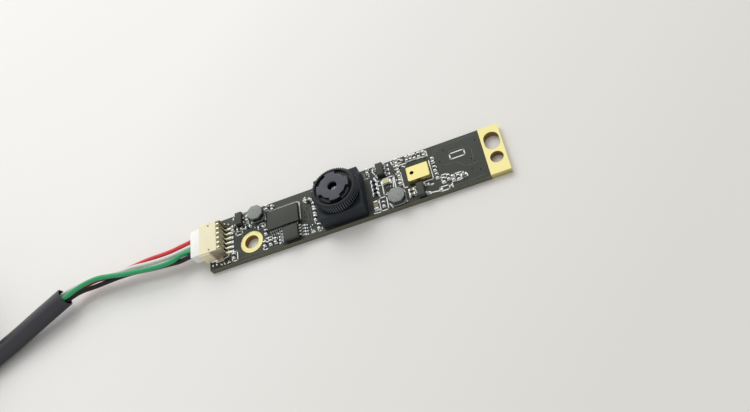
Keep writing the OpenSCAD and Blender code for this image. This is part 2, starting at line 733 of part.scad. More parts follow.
// A square box with bevelled upright corners and top edges
module holder_body() {
    intersection() {
        linear_extrude(holder_h) cut_rect(holder_w, holder_d, holder_bevel * 0.8);
        rotate([90, 0, 0]) linear_extrude(holder_d + 1, center = true) bevelled(holder_w);
        rotate([90, 0, 90]) linear_extrude(holder_w + 1, center = true) bevelled(holder_d);
    }
}
module bevelled(l) {
    polygon([
        [-l / 2, 0], [l / 2, 0], [l / 2, holder_h - holder_bevel / 2],
        [l / 2 - holder_bevel, holder_h], [holder_bevel - l / 2, holder_h],
        [-l / 2, holder_h - holder_bevel / 2]
    ]);
}
module lens_holder() {
    color([0.14, 0.15, 0.17]) translate([lens_x, lens_y, board_t]) difference() {
        holder_body();
        translate([0, 0, -eps]) block(chamber_w, chamber_w, chamber_h + eps);
        cylinder(d = filter_w * 0.8, h = holder_h + 1);
        translate([0, 0, chamber_h + shelf_t]) cylinder(d = thread_d, h = holder_h);
    }
}

// --- Focus lens ------------------------------------------------------------------

// The toothed outline of the grip ring: teeth with flat tips and sloping flanks
module knurl_outline() {
    step = 360 / teeth;
    tip = knurl_d / 2;
    root = tip - tooth_h;
    polygon([for (i = [0 : teeth - 1], c = [[0.1, root], [0.35, tip], [0.65, tip], [0.9, root]])
        let (a = (i + c[0]) * step) c[1] * [cos(a), sin(a)]]);
}
module lens_barrel() {
    rim_r = rim_d / 2;
    land = 0.45;
    color([0.14, 0.14, 0.16]) translate([lens_x, lens_y, 0]) difference() {
        union() {
            translate([0, 0, barrel_foot]) cylinder(r = thread_r, h = knurl_z - barrel_foot + eps);
            translate([0, 0, knurl_z]) linear_extrude(knurl_h) knurl_outline();
            translate([0, 0, rim_z - eps]) cylinder(r1 = rim_r + 0.05, r2 = rim_r, h = rim_h + eps);
        }
        // The glass's bore, with a lip below it, and the recess round the front disc
        translate([0, 0, barrel_foot - 1]) cylinder(r = glass_r * 0.78, h = 9);
        translate([0, 0, rear_z]) cylinder(r = glass_r, h = 9);
        translate([0, 0, rim_z - 0.25]) cylinder(r = rim_r - land, h = 9);
    }
}

// One key notch in the edge of the front disc
module key_notch(middle) {
    r = disc_d / 2;
    half = notch_a / 2;
    notch_in = 0.46;                        // depth of the notch from the disc's edge
    linear_extrude(5) polygon([
        (r - notch_in - 0.05) * [cos(middle - half), sin(middle - half)],
        (r + 1) * [cos(middle - half), sin(middle - half)],
        (r + 1.4) * [cos(middle), sin(middle)],
        (r + 1) * [cos(middle + half), sin(middle + half)],
        (r - notch_in - 0.05) * [cos(middle + half), sin(middle + half)],
        (r - notch_in) * [cos(middle), sin(middle)]
    ]);
}
module lens_front_disc() {
    r = disc_d / 2;
    color([0.16, 0.16, 0.18]) translate([lens_x, lens_y, 0]) difference() {
        rotate_extrude() polygon([
            [0, disc_foot], [glass_r - glass_gap, disc_foot], [glass_r - glass_gap, rim_z - 0.25],
            [r, rim_z - 0.25], [r, disc_top - 0.08], [r - 0.08, disc_top], [0, disc_top]
        ]);
        for (a = [notch_first : 90 : 359]) translate([0, 0, rim_z + 0.05]) key_notch(a);
        translate([0, 0, disc_top - 0.35]) cylinder(d1 = aperture_d * 0.75, d2 = aperture_d, h = 0.351);
        translate([0, 0, disc_foot - 1]) cylinder(d = aperture_d * 0.7, h = 5);
        translate([0, 0, disc_foot - eps]) cylinder(r1 = glass_r * 0.7, r2 = aperture_d * 0.35, h = 0.9);
    }
}

// Glass that is flat behind and domed in front
module lens_element(z, t, dome) {
    r = glass_r - glass_gap;
    flat = glass_r * 0.66;
    ball = (flat * flat + dome * dome) / (2 * dome);
    color([0.55, 0.62, 0.75, 0.5]) translate([lens_x, lens_y, z]) rotate_extrude() polygon(concat(
        [[0, 0], [r, 0], [r, t], [flat, t]],
        [for (a = [5 : -1 : 0]) let (w = asin(flat / ball) * a / 6)
            [ball * sin(w), t + dome - ball * (1 - cos(w))]]));
}
module front_lens() {
    lens_element(front_z + glass_gap / 2, front_t - glass_gap, 0.4);
}
module rear_lens() {
    lens_element(rear_z + glass_gap / 2, rear_t - glass_gap, 0.3);
}
module lens_spacer() {
    color([0.1, 0.1, 0.1]) translate([lens_x, lens_y, rear_z + rear_t]) rotate_extrude()
        translate([glass_r * 0.72, 0]) square([glass_r * 0.28 - glass_gap, spacer_t]);
}

// --- Header and plug -------------------------------------------------------------

// Where each contact stands across the board
module at_ways(list = [0 : ways - 1]) {
    for (i = list) translate([0, (i - (ways - 1) / 2) * pitch, 0]) children();
}

// A contact: tongue, riser, elbow, upright and foot, bent from one strip
module contact() {
    t = contact_t;
    top = header_top - 0.12;
    tip_x = header_x + 0.9;
    riser_x = header_back - rear_wall / 2;
    down_x = header_back + 0.55;
    foot_x = down_x + 1.1;
    rotate([90, 0, 0]) linear_extrude(contact_w, center = true) polygon([
        [tip_x, wire_z - t / 2], [riser_x + t, wire_z - t / 2], [riser_x + t, top - t],
        [down_x - t, top - t], [down_x - t, part_z + t / 2], [down_x - t / 2, part_z],
        [foot_x, part_z], [foot_x, part_z + t], [down_x, part_z + t], [down_x, top - t / 2],
        [down_x - t / 2, top], [riser_x, top], [riser_x, wire_z + t / 2], [tip_x, wire_z + t / 2]
    ]);
}

module header_housing() {
    body_h = header_top - header_foot;
    color([0.9, 0.86, 0.74]) difference() {
        union() {
            translate([header_x, -header_half, header_foot])
                cube([header_l, 2 * header_half, body_h]);
            translate([header_x, -mouth_half, header_foot])
                cube([mouth_l, 2 * mouth_half, body_h - 0.15]);
        }
        plug_space(plug_gap);
        at_ways() contact();
        for (s = [-1, 1]) tab_plate(s);
        // Latch windows in the roof, over the plug's ramps
        for (s = [-1, 1]) translate([header_x + mouth_l, s * (header_half - 0.5), header_top - 1])
            block(0.3, 0.4, 2);
    }
}

// The space that the plug takes, with a clearance round it
module plug_space(gap) {
    translate([header_x - 1, -plug_half - gap, plug_z - gap])
        cube([header_l - rear_wall + 1, 2 * (plug_half + gap), plug_top - plug_z + 2 * gap]);
}
module header_contacts() {
    color([0.83, 0.8, 0.62]) at_ways() contact();
}

// A metal tab at each side: an upright plate in the wall, and a foot on its pad
module tab_plate(s) {
    translate([header_back - 1.4, s * wing_y - wing_t / 2, part_z])
        cube([1.4 + wing_l, wing_t, header_top - 0.1 - part_z]);
    translate([header_back - 1.3, s * (wing_y + 0.25) - 0.35, part_z]) cube([1.2, 0.7, wing_t]);
}
module header_tabs() {
    color([0.55, 0.5, 0.43]) for (s = [-1, 1]) tab_plate(s);
}

module plug_housing() {
    l = plug_out + header_l - rear_wall - 0.1;
    h = plug_top - plug_z;
    color([0.94, 0.94, 0.92]) difference() {
        union() {
            translate([plug_x, -plug_half, plug_z]) cube([l, 2 * plug_half, h]);
            // The thicker grip that stays outside the header
            translate([plug_x, -plug_half, plug_z - 0.2]) cube([plug_out - 0.15, 2 * plug_half, h + 0.4]);
        }
        at_ways() plug_cell();
    }
}
// The cell of one crimp contact, open to the header
module plug_cell() {
    translate([plug_x + 0.5, -cell_w / 2, wire_z - 0.4]) cube([plug_out + header_l, cell_w, 0.8]);
}
// Four of the six cells hold a crimp contact
module plug_contacts() {
    w = cell_w - 0.04;
    color([0.8, 0.78, 0.66]) at_ways([1 : 4]) difference() {
        translate([plug_x + 0.65, -w / 2, wire_z - 0.35]) cube([plug_out + 1.5, w, 0.7]);
        translate([header_x + 0.4, -0.5, wire_z - contact_t / 2 - 0.05]) cube([5, 1, contact_t + 0.1]);
    }
}

// --- Wires, cable and its plug ---------------------------------------------------

module red_wire() {
    color([0.75, 0.08, 0.08]) tube(red_path, wire_d);
}
module white_wire() {
    color([0.92, 0.92, 0.9]) tube(white_path, wire_d);
}
module green_wire() {
    color([0.05, 0.4, 0.22]) tube(green_path, wire_d);
}
module black_wire() {
    color([0.08, 0.08, 0.08]) tube(black_path, wire_d);
}
module cable_sleeve() {
    bore = cable_d + 0.2;
    color([0.09, 0.09, 0.1]) hollow_tube(sleeve_path, bore + 2 * sleeve_t, bore);
}
module cable_run() {
    color([0.1, 0.1, 0.11]) tube(run_path, cable_d);
}
module cable_tail() {
    color([0.1, 0.1, 0.11]) tube(tail_path, cable_d);
}

// The outline of the folded cable: two straight runs joined by round folds
module hank_outline(r) {
    for (x = [hank_near, hank_far]) translate([x, hank_y]) circle(r);
    translate([hank_far, hank_y - r]) square([hank_near - hank_far, 2 * r]);
}
module cable_hank() {
    color([0.1, 0.1, 0.11]) translate([0, 0, tie_t]) linear_extrude(hank_h) difference() {
        hank_outline(hank_out_r);
        hank_outline(hank_in_r);
    }
}
// A band round both runs of the folded cable
module hank_tie() {
    color([0.2, 0.2, 0.22]) translate([tie_x - tie_w / 2, hank_y, 0]) rotate([90, 0, 90])
        linear_extrude(tie_w) difference() {
            translate([-hank_out_r - tie_t, 0]) square([2 * (hank_out_r + tie_t), hank_h + 2 * tie_t]);
            translate([-hank_out_r, tie_t]) square([2 * hank_out_r, hank_h]);
        }
}

grip_x = usb_x + grip_l;
module usb_shell() {
    t = 0.3;
    color([0.8, 0.81, 0.83]) translate([usb_x - shell_l, usb_y, usb_z]) rotate([90, 0, 90]) difference() {
        linear_extrude(shell_l + shell_seat) square([shell_w, shell_h], center = true);
        translate([0, 0, -1]) linear_extrude(shell_l + shell_seat)
            square([shell_w - 2 * t, shell_h - 2 * t], center = true);
        for (sx = [-1, 1], sy = [-1, 1]) translate([sx * 2.3, sy * shell_h / 2, 5.2])
            cube([2.3, 2 * t + 0.2, 1.9], center = true);
    }
}
module usb_tongue() {
    color([0.92, 0.92, 0.92])
        translate([usb_x - shell_l + 0.7, usb_y - shell_w / 2 + 0.35, usb_z - shell_h / 2 + 0.35])
        difference() {
            cube([shell_l + 0.7, shell_w - 0.7, 1.75]);
            for (y = [-3.5, -1, 1, 3.5]) usb_contact_bar(y);
        }
}
// One contact strip of the USB plug, let into the tongue's top
module usb_contact_bar(y) {
    translate([0.8, shell_w / 2 - 0.35 + y - 0.5, 1.6]) cube([shell_l - 1.5, 1, 0.2]);
}
module usb_contacts() {
    color([0.9, 0.8, 0.4])
        translate([usb_x - shell_l + 0.7, usb_y - shell_w / 2 + 0.35, usb_z - shell_h / 2 + 0.35])
        for (y = [-3.5, -1, 1, 3.5]) usb_contact_bar(y);
}
// The grip: a rounded body that narrows to a ribbed strain relief
module usb_grip() {
    relief_d = cable_d + 3;
    ribs = 3;
    color([0.11, 0.11, 0.12]) difference() {
        union() {
            translate([usb_x, usb_y, usb_z]) rotate([90, 0, 90])
                linear_extrude(grip_l - relief_l) round_rect(grip_w, grip_h, 1.4);
            translate([grip_x - relief_l, usb_y, usb_z]) rotate([0, 90, 0])
                cylinder(d1 = relief_d, d2 = relief_d - 1.8, h = relief_l);
            for (i = [0 : ribs - 1])
                translate([grip_x - relief_l * (1 - (i + 0.7) / ribs), usb_y, usb_z])
                    rotate([0, 90, 0]) cylinder(d = relief_d - 0.4 * i, h = relief_l * 0.14);
        }
        translate([usb_x, usb_y, usb_z])
            cube([2 * shell_seat, shell_w, shell_h], center = true);
        translate([grip_x - relief_l / 3, usb_y, usb_z]) rotate([0, 90, 0]) cylinder(d = cable_d, h = relief_l);
    }
}

circuit_board();
end_plating();
mount_ring();
solder_pads();
chip_resistors();
chip_capacitors();
end_caps();
bridge_chip();
bridge_chip_pins();
flash_chip();
flash_chip_pins();
left_regulator();
left_regulator_pins();
right_regulator();
right_regulator_pins();
audio_transistor();
audio_transistor_pins();
left_coil_core();
left_coil_winding();
left_coil_resin();
right_coil_core();
right_coil_winding();
right_coil_resin();
status_led();
status_led_window();
diode_body();
mic_can();
mic_base();
mic_die();
image_sensor();
sensor_glass();
ir_filter();
lens_holder();
lens_barrel();
lens_front_disc();
front_lens();
lens_spacer();
rear_lens();
header_housing();
header_contacts();
header_tabs();
plug_housing();
plug_contacts();
red_wire();
white_wire();
green_wire();
black_wire();
cable_sleeve();
cable_run();
cable_hank();
cable_tail();
hank_tie();
usb_shell();
usb_tongue();
usb_contacts();
usb_grip();
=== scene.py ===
"""A strip camera module: board, focus lens, microphone, wire header, cable and USB plug.

Sizes are in millimetres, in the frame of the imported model: the origin is the centre
of the board's back face, +X runs to the gold end, +Y to the back edge and +Z up.
A piece is modelled at its place in millimetres and is settled into metres. Cords,
lamps and table are laid out in metres. A class's edges are widths of rounding.
"""

import logging
import math
from collections.abc import Callable, Iterable, Iterator, Sequence
from contextlib import contextmanager
from dataclasses import dataclass, replace
from enum import Enum
from functools import lru_cache

import bmesh
import bpy
from mathutils import Matrix, Vector


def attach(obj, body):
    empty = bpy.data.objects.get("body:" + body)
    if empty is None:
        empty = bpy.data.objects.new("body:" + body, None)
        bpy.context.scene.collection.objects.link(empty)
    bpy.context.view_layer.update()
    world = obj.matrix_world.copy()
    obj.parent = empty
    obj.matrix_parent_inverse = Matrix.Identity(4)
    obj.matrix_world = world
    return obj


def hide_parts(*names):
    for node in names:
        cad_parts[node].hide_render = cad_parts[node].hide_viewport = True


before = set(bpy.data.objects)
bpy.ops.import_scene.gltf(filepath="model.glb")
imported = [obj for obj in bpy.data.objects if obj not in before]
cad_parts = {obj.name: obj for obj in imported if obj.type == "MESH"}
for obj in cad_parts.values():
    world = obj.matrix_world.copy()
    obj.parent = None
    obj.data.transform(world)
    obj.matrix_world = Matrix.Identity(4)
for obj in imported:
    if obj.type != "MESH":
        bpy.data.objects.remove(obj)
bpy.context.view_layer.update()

MM = 0.001
WELD = 0.001  # Points nearer than this become one.
ONE_FACE_ANGLE = 0.4  # Faces turned less than this, in degrees, become one.
WALL_RISE = 0.3  # A wall's normal rises less than this.
TOP_RISE = 0.9  # A top's normal rises more than this.
BOARD = "board"
GLASS = "lens_glass"
BARREL = "focus_barrel"

Point = tuple[float, float, float]
Flat = tuple[float, float]
Colour = tuple[int, int, int]
Line = Sequence[Flat]
Patch = tuple[float, float, float, float]
Piece = bpy.types.Object
Test = Callable[[Vector, Vector], bool]

log = logging.getLogger("camera_module")


# --- Finishes ---


def linear(colour: Colour) -> tuple[float, float, float, float]:
    """Turns a colour-card value into the linear value that a shader takes.

    Args:
        colour: red, green and blue, 0 to 255.

    Returns:
        Red, green, blue and a full alpha, 0 to 1.
    """
    parts = [c / 255 for c in colour]
    parts = [c / 12.92 if c <= 0.04045 else ((c + 0.055) / 1.055) ** 2.4 for c in parts]
    return (parts[0], parts[1], parts[2], 1.0)


class Weave(Enum):
    """How the fine grain of a finish runs."""

    EVEN = (1.0, 1.0, 1.0)
    ALONG_X = (0.08, 1.0, 1.0)
    LAYERED = (0.02, 0.02, 1.0)


@dataclass(frozen=True)
class Finish:
    """A surface's colour and gloss, with its patches and its fine grain.

    Attributes:
        name: name of the material.
        colour: red, green and blue as on a colour card, 0 to 255.
        roughness: from 0, a mirror, to 1, chalk.
        metal: 1 for bare metal, 0 for anything else.
        specular: strength of the gloss of a surface that isn't metal.
        mottle: how far patches drift darker than the colour, 0 to 1.
        patch: size of a patch, in millimetres.
        smear: how far the roughness drifts with the patches.
        grain: depth of the fine grain, in millimetres.
        speck: size of a grain, in millimetres.
        weave: how the grain runs.
        clear: share of light that passes through.
        soft: share of light that scatters below the surface.
        coat: strength of a clear coat.
        ior: index of refraction.
    """

    name: str
    colour: Colour
    roughness: float = 0.5
    metal: float = 0.0
    specular: float = 0.5
    mottle: float = 0.0
    patch: float = 1.5
    smear: float = 0.0
    grain: float = 0.0
    speck: float = 0.12
    weave: Weave = Weave.EVEN
    clear: float = 0.0
    soft: float = 0.0
    coat: float = 0.0
    ior: float = 1.5

    @lru_cache(maxsize=None)
    def material(self) -> bpy.types.Material:
        """Lays out the finish's shader, once.

        Returns:
            The material.
        """
        made = bpy.data.materials.new(self.name)
        made.use_nodes = True
        tree = made.node_tree
        shader = tree.nodes["Principled BSDF"]
        values = {
            "Base Color": linear(self.colour),
            "Roughness": self.roughness,
            "Metallic": self.metal,
            "Specular IOR Level": self.specular,
            "IOR": self.ior,
            "Transmission Weight": self.clear,
            "Subsurface Weight": self.soft,
            "Subsurface Radius": (MM, 0.8 * MM, 0.6 * MM),
            "Subsurface Scale": 0.6,
            "Coat Weight": self.coat,
            "Coat Roughness": 0.15,
        }
        for key, value in values.items():
            shader.inputs[key].default_value = value
        if self.mottle or self.smear:
            patches = noise_of(tree, self.patch, detail=3.0)
            if self.mottle:
                blend = tree.nodes.new("ShaderNodeMix")
                blend.data_type = "RGBA"
                dark = tuple(c * (1 - self.mottle) for c in linear(self.colour)[:3]) + (1.0,)
                blend.inputs["A"].default_value = dark
                blend.inputs["B"].default_value = linear(self.colour)
                tree.links.new(patches, blend.inputs["Factor"])
                tree.links.new(blend.outputs["Result"], shader.inputs["Base Color"])
            if self.smear:
                span = tree.nodes.new("ShaderNodeMapRange")
                span.inputs["To Min"].default_value = max(0.02, self.roughness - self.smear)
                span.inputs["To Max"].default_value = min(1.0, self.roughness + self.smear)
                tree.links.new(patches, span.inputs["Value"])
                tree.links.new(span.outputs["Result"], shader.inputs["Roughness"])
        if self.grain:
            bump = tree.nodes.new("ShaderNodeBump")
            bump.inputs["Strength"].default_value = 1.0
            bump.inputs["Distance"].default_value = self.grain * MM
            grains = noise_of(tree, self.speck, detail=2.0, weave=self.weave)
            tree.links.new(grains, bump.inputs["Height"])
            tree.links.new(bump.outputs["Normal"], shader.inputs["Normal"])
        return made


def noise_of(
    tree: bpy.types.NodeTree, size: float, detail: float, weave: Weave = Weave.EVEN
) -> bpy.types.NodeSocket:
    """Adds a noise that lies on the piece.

    Args:
        tree: the node tree of the material.
        size: size of a patch, in millimetres.
        detail: how many finer layers it has.
        weave: how it runs.

    Returns:
        The noise's output, 0 to 1.
    """
    place = tree.nodes.new("ShaderNodeTexCoord")
    turn = tree.nodes.new("ShaderNodeMapping")
    turn.inputs["Scale"].default_value = weave.value
    noise = tree.nodes.new("ShaderNodeTexNoise")
    noise.inputs["Scale"].default_value = 1 / (size * MM)
    noise.inputs["Detail"].default_value = detail
    tree.links.new(place.outputs["Object"], turn.inputs["Vector"])
    tree.links.new(turn.outputs["Vector"], noise.inputs["Vector"])
    return noise.outputs["Fac"]


MASK = Finish(
    "matt_mask", (38, 43, 34), 0.42, specular=0.37, mottle=0.14, patch=5, smear=0.05, grain=0.004,
    speck=0.1,
)
LAMINATE = Finish(
    "glass_laminate", (106, 105, 86), 0.6, mottle=0.5, patch=0.5, grain=0.012, speck=0.25,
    weave=Weave.LAYERED,
)
# The header end's cut laminate: its own yellow-green, made much paler as a painted highlight.
CUT_END_AND_HIGHLIGHT = replace(LAMINATE, name="cut_laminate_and_highlight", colour=(200, 204, 84), mottle=0.4, patch=0.4)
GOLD = Finish(
    "gold_plating", (205, 196, 137), 0.34, 1.0, mottle=0.06, patch=2.5, smear=0.06, grain=0.002,
    speck=0.15,
)
# Painted shade: the walls of the plated holes, darker and browner than the gold.
BORE_GOLD_SHADE = Finish("gold_bore_shade", (156, 126, 68), 0.5, 0.3, mottle=0.4, patch=0.5, smear=0.1)
TIN = Finish("tinned_pad", (214, 216, 218), 0.36, 1.0, smear=0.1, patch=0.4, grain=0.01)
CAP_END = Finish(
    "tinned_end", (226, 227, 226), 0.36, 1.0, smear=0.08, patch=0.3, grain=0.006, speck=0.08
)
DULL_END = Finish("dull_end", (70, 72, 74), 0.5, 1.0, smear=0.08, patch=0.3)
SOLDER = Finish("solder", (228, 230, 232), 0.3, 1.0, smear=0.1, patch=0.5, grain=0.008, speck=0.2)
RESISTOR = Finish("resistor_black", (30, 31, 34), 0.4, mottle=0.2, patch=0.3)
CAPACITOR = Finish(
    "capacitor_ceramic", (136, 128, 104), 0.45, mottle=0.2, patch=0.4, grain=0.003, speck=0.05
)
CHIP = Finish(
    "chip_epoxy", (36, 40, 32), 0.5, mottle=0.14, patch=0.8, smear=0.06, grain=0.005, speck=0.06
)
PIN = Finish("plated_pin", (150, 151, 150), 0.45, 1.0, smear=0.08, patch=0.3)
FERRITE = Finish("ferrite", (160, 165, 161), 0.6, mottle=0.7, patch=0.3, grain=0.012, speck=0.09)
COPPER = Finish("copper_winding", (190, 110, 62), 0.35, 1.0)
RESIN = Finish("coil_resin", (26, 28, 29), 0.45, mottle=0.2, patch=0.4, grain=0.02, speck=0.2)
LED_WHITE = Finish("led_housing", (238, 238, 230), 0.45, soft=0.2)
LED_WINDOW = Finish("led_window", (196, 186, 92), 0.25, soft=0.3, coat=0.5)
MIC_GOLD = Finish(
    "microphone_can", (208, 198, 134), 0.38, 1.0, mottle=0.05, smear=0.06, grain=0.003, speck=0.1
)
MIC_BASE = Finish("microphone_base", (74, 60, 34), 0.6, grain=0.01, speck=0.2, weave=Weave.LAYERED)
SILICON = Finish("silicon", (76, 82, 96), 0.18, 0.6)
GLASS_CLEAR = Finish("optical_glass", (214, 222, 238), 0.2, clear=1.0, ior=1.75)
FILTER = Finish("cut_filter", (220, 150, 150), 0.05, clear=0.9)
HOLDER = Finish(
    "holder_plastic", (30, 35, 43), 0.46, specular=0.24, mottle=0.14, patch=1.6, smear=0.05,
    grain=0.006, speck=0.08,
)
LENS_BLACK = Finish(
    "lens_plastic", (18, 21, 27), 0.36, specular=0.3, mottle=0.1, patch=1.2, smear=0.06,
    grain=0.004, speck=0.07,
)
# Painted highlight: the tips of the knurl's teeth, paler than the barrel's black plastic.
TOOTH_HIGHLIGHT = Finish("knurl_tip_highlight", (92, 99, 108), 0.4, mottle=0.3, patch=0.3)
# Painted sheen: a paler copy of the lens plastic for the disc's upward face.
LENS_FACE_SHEEN = replace(
    LENS_BLACK, name="lens_face_sheen", colour=(54, 57, 66), roughness=0.42, specular=0.5
)
SPACER = Finish("spacer_black", (20, 20, 20), 0.8)
BEIGE = Finish("header_nylon", (233, 226, 192), 0.45, mottle=0.05, soft=0.12, grain=0.004)
CONTACT = Finish("contact_tin", (234, 229, 204), 0.34, 1.0, smear=0.08, patch=0.3)
TAB = Finish("solder_tab", (176, 166, 146), 0.42, 1.0, mottle=0.4, patch=0.5, smear=0.1)
PLUG = Finish("plug_nylon", (240, 240, 236), 0.42, mottle=0.03, soft=0.15, grain=0.004)
RED = Finish("red_insulation", (206, 48, 48), 0.4, mottle=0.1, patch=2, grain=0.004, speck=0.2)
WHITE = replace(RED, name="white_insulation", colour=(216, 215, 210), mottle=0.05)
GREEN = replace(RED, name="green_insulation", colour=(30, 158, 98))
BLACK = replace(
    RED, name="black_insulation", colour=(15, 15, 16), roughness=0.45, specular=0.3
)
SLEEVE = Finish(
    "shrink_sleeve", (33, 33, 41), 0.34, mottle=0.2, patch=2.2, smear=0.08, grain=0.02, speck=0.4
)
CABLE = Finish(
    "cable_jacket", (34, 34, 36), 0.5, mottle=0.12, patch=3, smear=0.06, grain=0.01, speck=0.2
)
TIE = Finish("hook_strap", (46, 46, 50), 0.9, mottle=0.4, patch=0.4, grain=0.08, speck=0.3)
STEEL = Finish(
    "plated_steel", (206, 208, 212), 0.3, 1.0, mottle=0.06, patch=3, smear=0.08, grain=0.002,
    speck=0.3, weave=Weave.ALONG_X,
)
TONGUE = Finish("tongue_white", (234, 234, 234), 0.45, soft=0.1)
GRIP = Finish("grip_rubber", (34, 34, 37), 0.55, mottle=0.12, patch=3, grain=0.012, speck=0.16)
INK = Finish("white_ink", (248, 248, 241), 0.6, mottle=0.2, patch=0.2, grain=0.004, speck=0.08)
TRACE = Finish(
    "masked_copper", (56, 58, 53), 0.4, specular=0.6, mottle=0.1, patch=1.0, grain=0.003, speck=0.1
)
# Painted shade: the dark middle of a via stands in for the shadow in its hole.
VIA_HOLE_SHADE = Finish("via_hole_shade", (10, 10, 10), 0.8, specular=0.1)


# --- The bench ---


def pick(*pieces: Piece) -> None:
    """Selects these pieces and nothing else.

    Args:
        pieces: the pieces. The first one becomes active.
    """
    bpy.ops.object.select_all(action="DESELECT")
    for piece in pieces:
        piece.select_set(True)
    bpy.context.view_layer.objects.active = pieces[0]


def add(name: str, operator: Callable[..., set[str]], **settings: object) -> Piece:
    """Adds a piece with one of Blender's operators.

    Args:
        name: name of the piece.
        operator: the operator.
        settings: what the operator takes.

    Returns:
        The piece.
    """
    bpy.ops.object.select_all(action="DESELECT")
    operator(**settings)
    piece = bpy.context.active_object
    piece.name = name
    return piece


@contextmanager
def editing(piece: Piece) -> Iterator[None]:
    """Holds a piece in edit mode with nothing selected.

    Args:
        piece: the piece.

    Yields:
        Nothing.
    """
    pick(piece)
    bpy.ops.object.mode_set(mode="EDIT")
    bpy.ops.mesh.select_all(action="DESELECT")
    yield
    bpy.ops.object.mode_set(mode="OBJECT")


class Kind(Enum):
    """What a selection is made of."""

    VERT = "VERT"
    EDGE = "EDGE"
    FACE = "FACE"


def choose(piece: Piece, kind: Kind, test: Test) -> None:
    """Selects parts of a mesh in edit mode by their place.

    Args:
        piece: the piece in edit mode.
        kind: vertices, edges or faces.
        test: says yes for a middle and a direction, which is an edge's run, or the
            normal of a face or a vertex.
    """
    bpy.ops.mesh.select_mode(type=kind.value)
    mesh = bmesh.from_edit_mesh(piece.data)
    if kind is Kind.FACE:
        for face in mesh.faces:
            face.select_set(test(face.calc_center_median(), face.normal))
    elif kind is Kind.EDGE:
        for edge in mesh.edges:
            a, b = (v.co for v in edge.verts)
            edge.select_set(test((a + b) / 2, (b - a).normalized()))
    else:
        for vert in mesh.verts:
            vert.select_set(test(vert.co, vert.normal))
    mesh.select_flush_mode()
    bmesh.update_edit_mesh(piece.data)


def tint(piece: Piece, finish: Finish, test: Test) -> None:
    """Gives some faces of a piece a finish of their own.

    Args:
        piece: the piece.
        finish: the faces' finish.
        test: says yes for a face's middle and normal.
    """
    piece.data.materials.append(finish.material())
    with editing(piece):
        choose(piece, Kind.FACE, test)
        piece.active_material_index = len(piece.data.materials) - 1
        bpy.ops.object.material_slot_assign()


def modify(piece: Piece, kind: str, **settings: object) -> None:
    """Gives a piece a modifier and applies it.

    Args:
        piece: the piece.
        kind: the modifier's type.
        settings: the modifier's values.
    """
    pick(piece)
    added = piece.modifiers.new(kind.lower(), kind)
    for key, value in settings.items():
        setattr(added, key, value)
    bpy.ops.object.modifier_apply(modifier=added.name)


def fix_place(piece: Piece) -> Piece:
    """Puts a piece's place, turn and size into its mesh."""
    pick(piece)
    bpy.ops.object.transform_apply(location=True, rotation=True, scale=True)
    return piece


def round_edges(piece: Piece, width: float, segments: int = 2, angle: float = 30.0) -> Piece:
    """Rounds a piece's sharp edges and shades it smooth between them.

    Args:
        piece: the piece.
        width: width of the rounding.
        segments: steps of the rounding.
        angle: edges sharper than this many degrees are rounded.

    Returns:
        The piece.
    """
    if width:
        modify(
            piece, "BEVEL", width=width, segments=segments,
            limit_method="ANGLE", angle_limit=math.radians(angle),
        )
    pick(piece)
    bpy.ops.object.shade_smooth_by_angle(angle=math.radians(angle))
    return piece


def bounds_of(piece: Piece) -> tuple[Vector, Vector]:
    """Returns the low and the high corner of a piece's own points."""
    sides = list(zip(*(vertex.co for vertex in piece.data.vertices)))
    return Vector([min(side) for side in sides]), Vector([max(side) for side in sides])


def spread(source: Piece, name: str, places: Iterable[Matrix]) -> Piece:
    """Copies one model to many places and joins the copies.

    Args:
        source: the model, at the origin. It is used up.
        name: name of the new piece.
        places: where each copy stands.

    Returns:
        The joined copies.
    """
    copies = []
    for place in places:
        copy = bpy.data.objects.new(name, source.data.copy())
        bpy.context.collection.objects.link(copy)
        copy.matrix_world = place
        copies.append(copy)
    bpy.data.objects.remove(source)
    pick(*copies)
    bpy.ops.object.join()
    joined = bpy.context.active_object
    joined.name = name
    return fix_place(joined)


def stroke_unit(name: str, height: float, draw: Point = (0.98, 0.9, 1)) -> Piece:
    """Models one printed or plated stroke, a unit long and wide.

    Args:
        name: name of the piece.
        height: how far it stands up.
        draw: the size of its top, as a share of its foot.

    Returns:
        The stroke, at the origin.
    """
    piece = add(name, bpy.ops.mesh.primitive_plane_add, size=1)
    with editing(piece):
        bpy.ops.mesh.select_all(action="SELECT")
        bpy.ops.mesh.extrude_region_move(TRANSFORM_OT_translate={"value": (0, 0, height)})
        bpy.ops.transform.resize(value=draw)
        bpy.ops.mesh.select_all(action="SELECT")
        bpy.ops.mesh.normals_make_consistent(inside=False)
    return piece


def blob_unit(name: str, draw: Point = (0.5, 0.5, 1), rounding: float = 0.22) -> Piece:
    """Models one drop of solder, a unit long, wide and high, flat below.

    Args:
        name: name of the piece.
        draw: the size of its top, as a share of its foot.
        rounding: width of the rounding of its edges.

    Returns:
        The drop, its foot at the origin.
    """
    piece = fix_place(add(name, bpy.ops.mesh.primitive_cube_add, size=1, location=(0, 0, 0.5)))
    with editing(piece):
        choose(piece, Kind.FACE, lambda middle, normal: normal.z > TOP_RISE)
        bpy.ops.transform.resize(value=draw)
    modify(
        piece, "BEVEL", width=rounding, segments=3,
        limit_method="ANGLE", angle_limit=math.radians(20),
    )
    pick(piece)
    bpy.ops.object.shade_smooth()
    return piece


def along(lines: Iterable[Line], width: float, z: float) -> Iterator[Matrix]:
    """Turns lines on the board into the places of their strokes.

    Args:
        lines: each line's corners.
        width: width of a stroke.
        z: height of its foot.

    Yields:
        A place for each stretch, as long as the stretch and its two round-offs.
    """
    for line in lines:
        for (ax, ay), (bx, by) in zip(line, line[1:]):
            turn = math.degrees(math.atan2(by - ay, bx - ax))
            run = math.hypot(bx - ax, by - ay)
            yield at((ax + bx) / 2, (ay + by) / 2, z, turn, (run + width, width, 1))


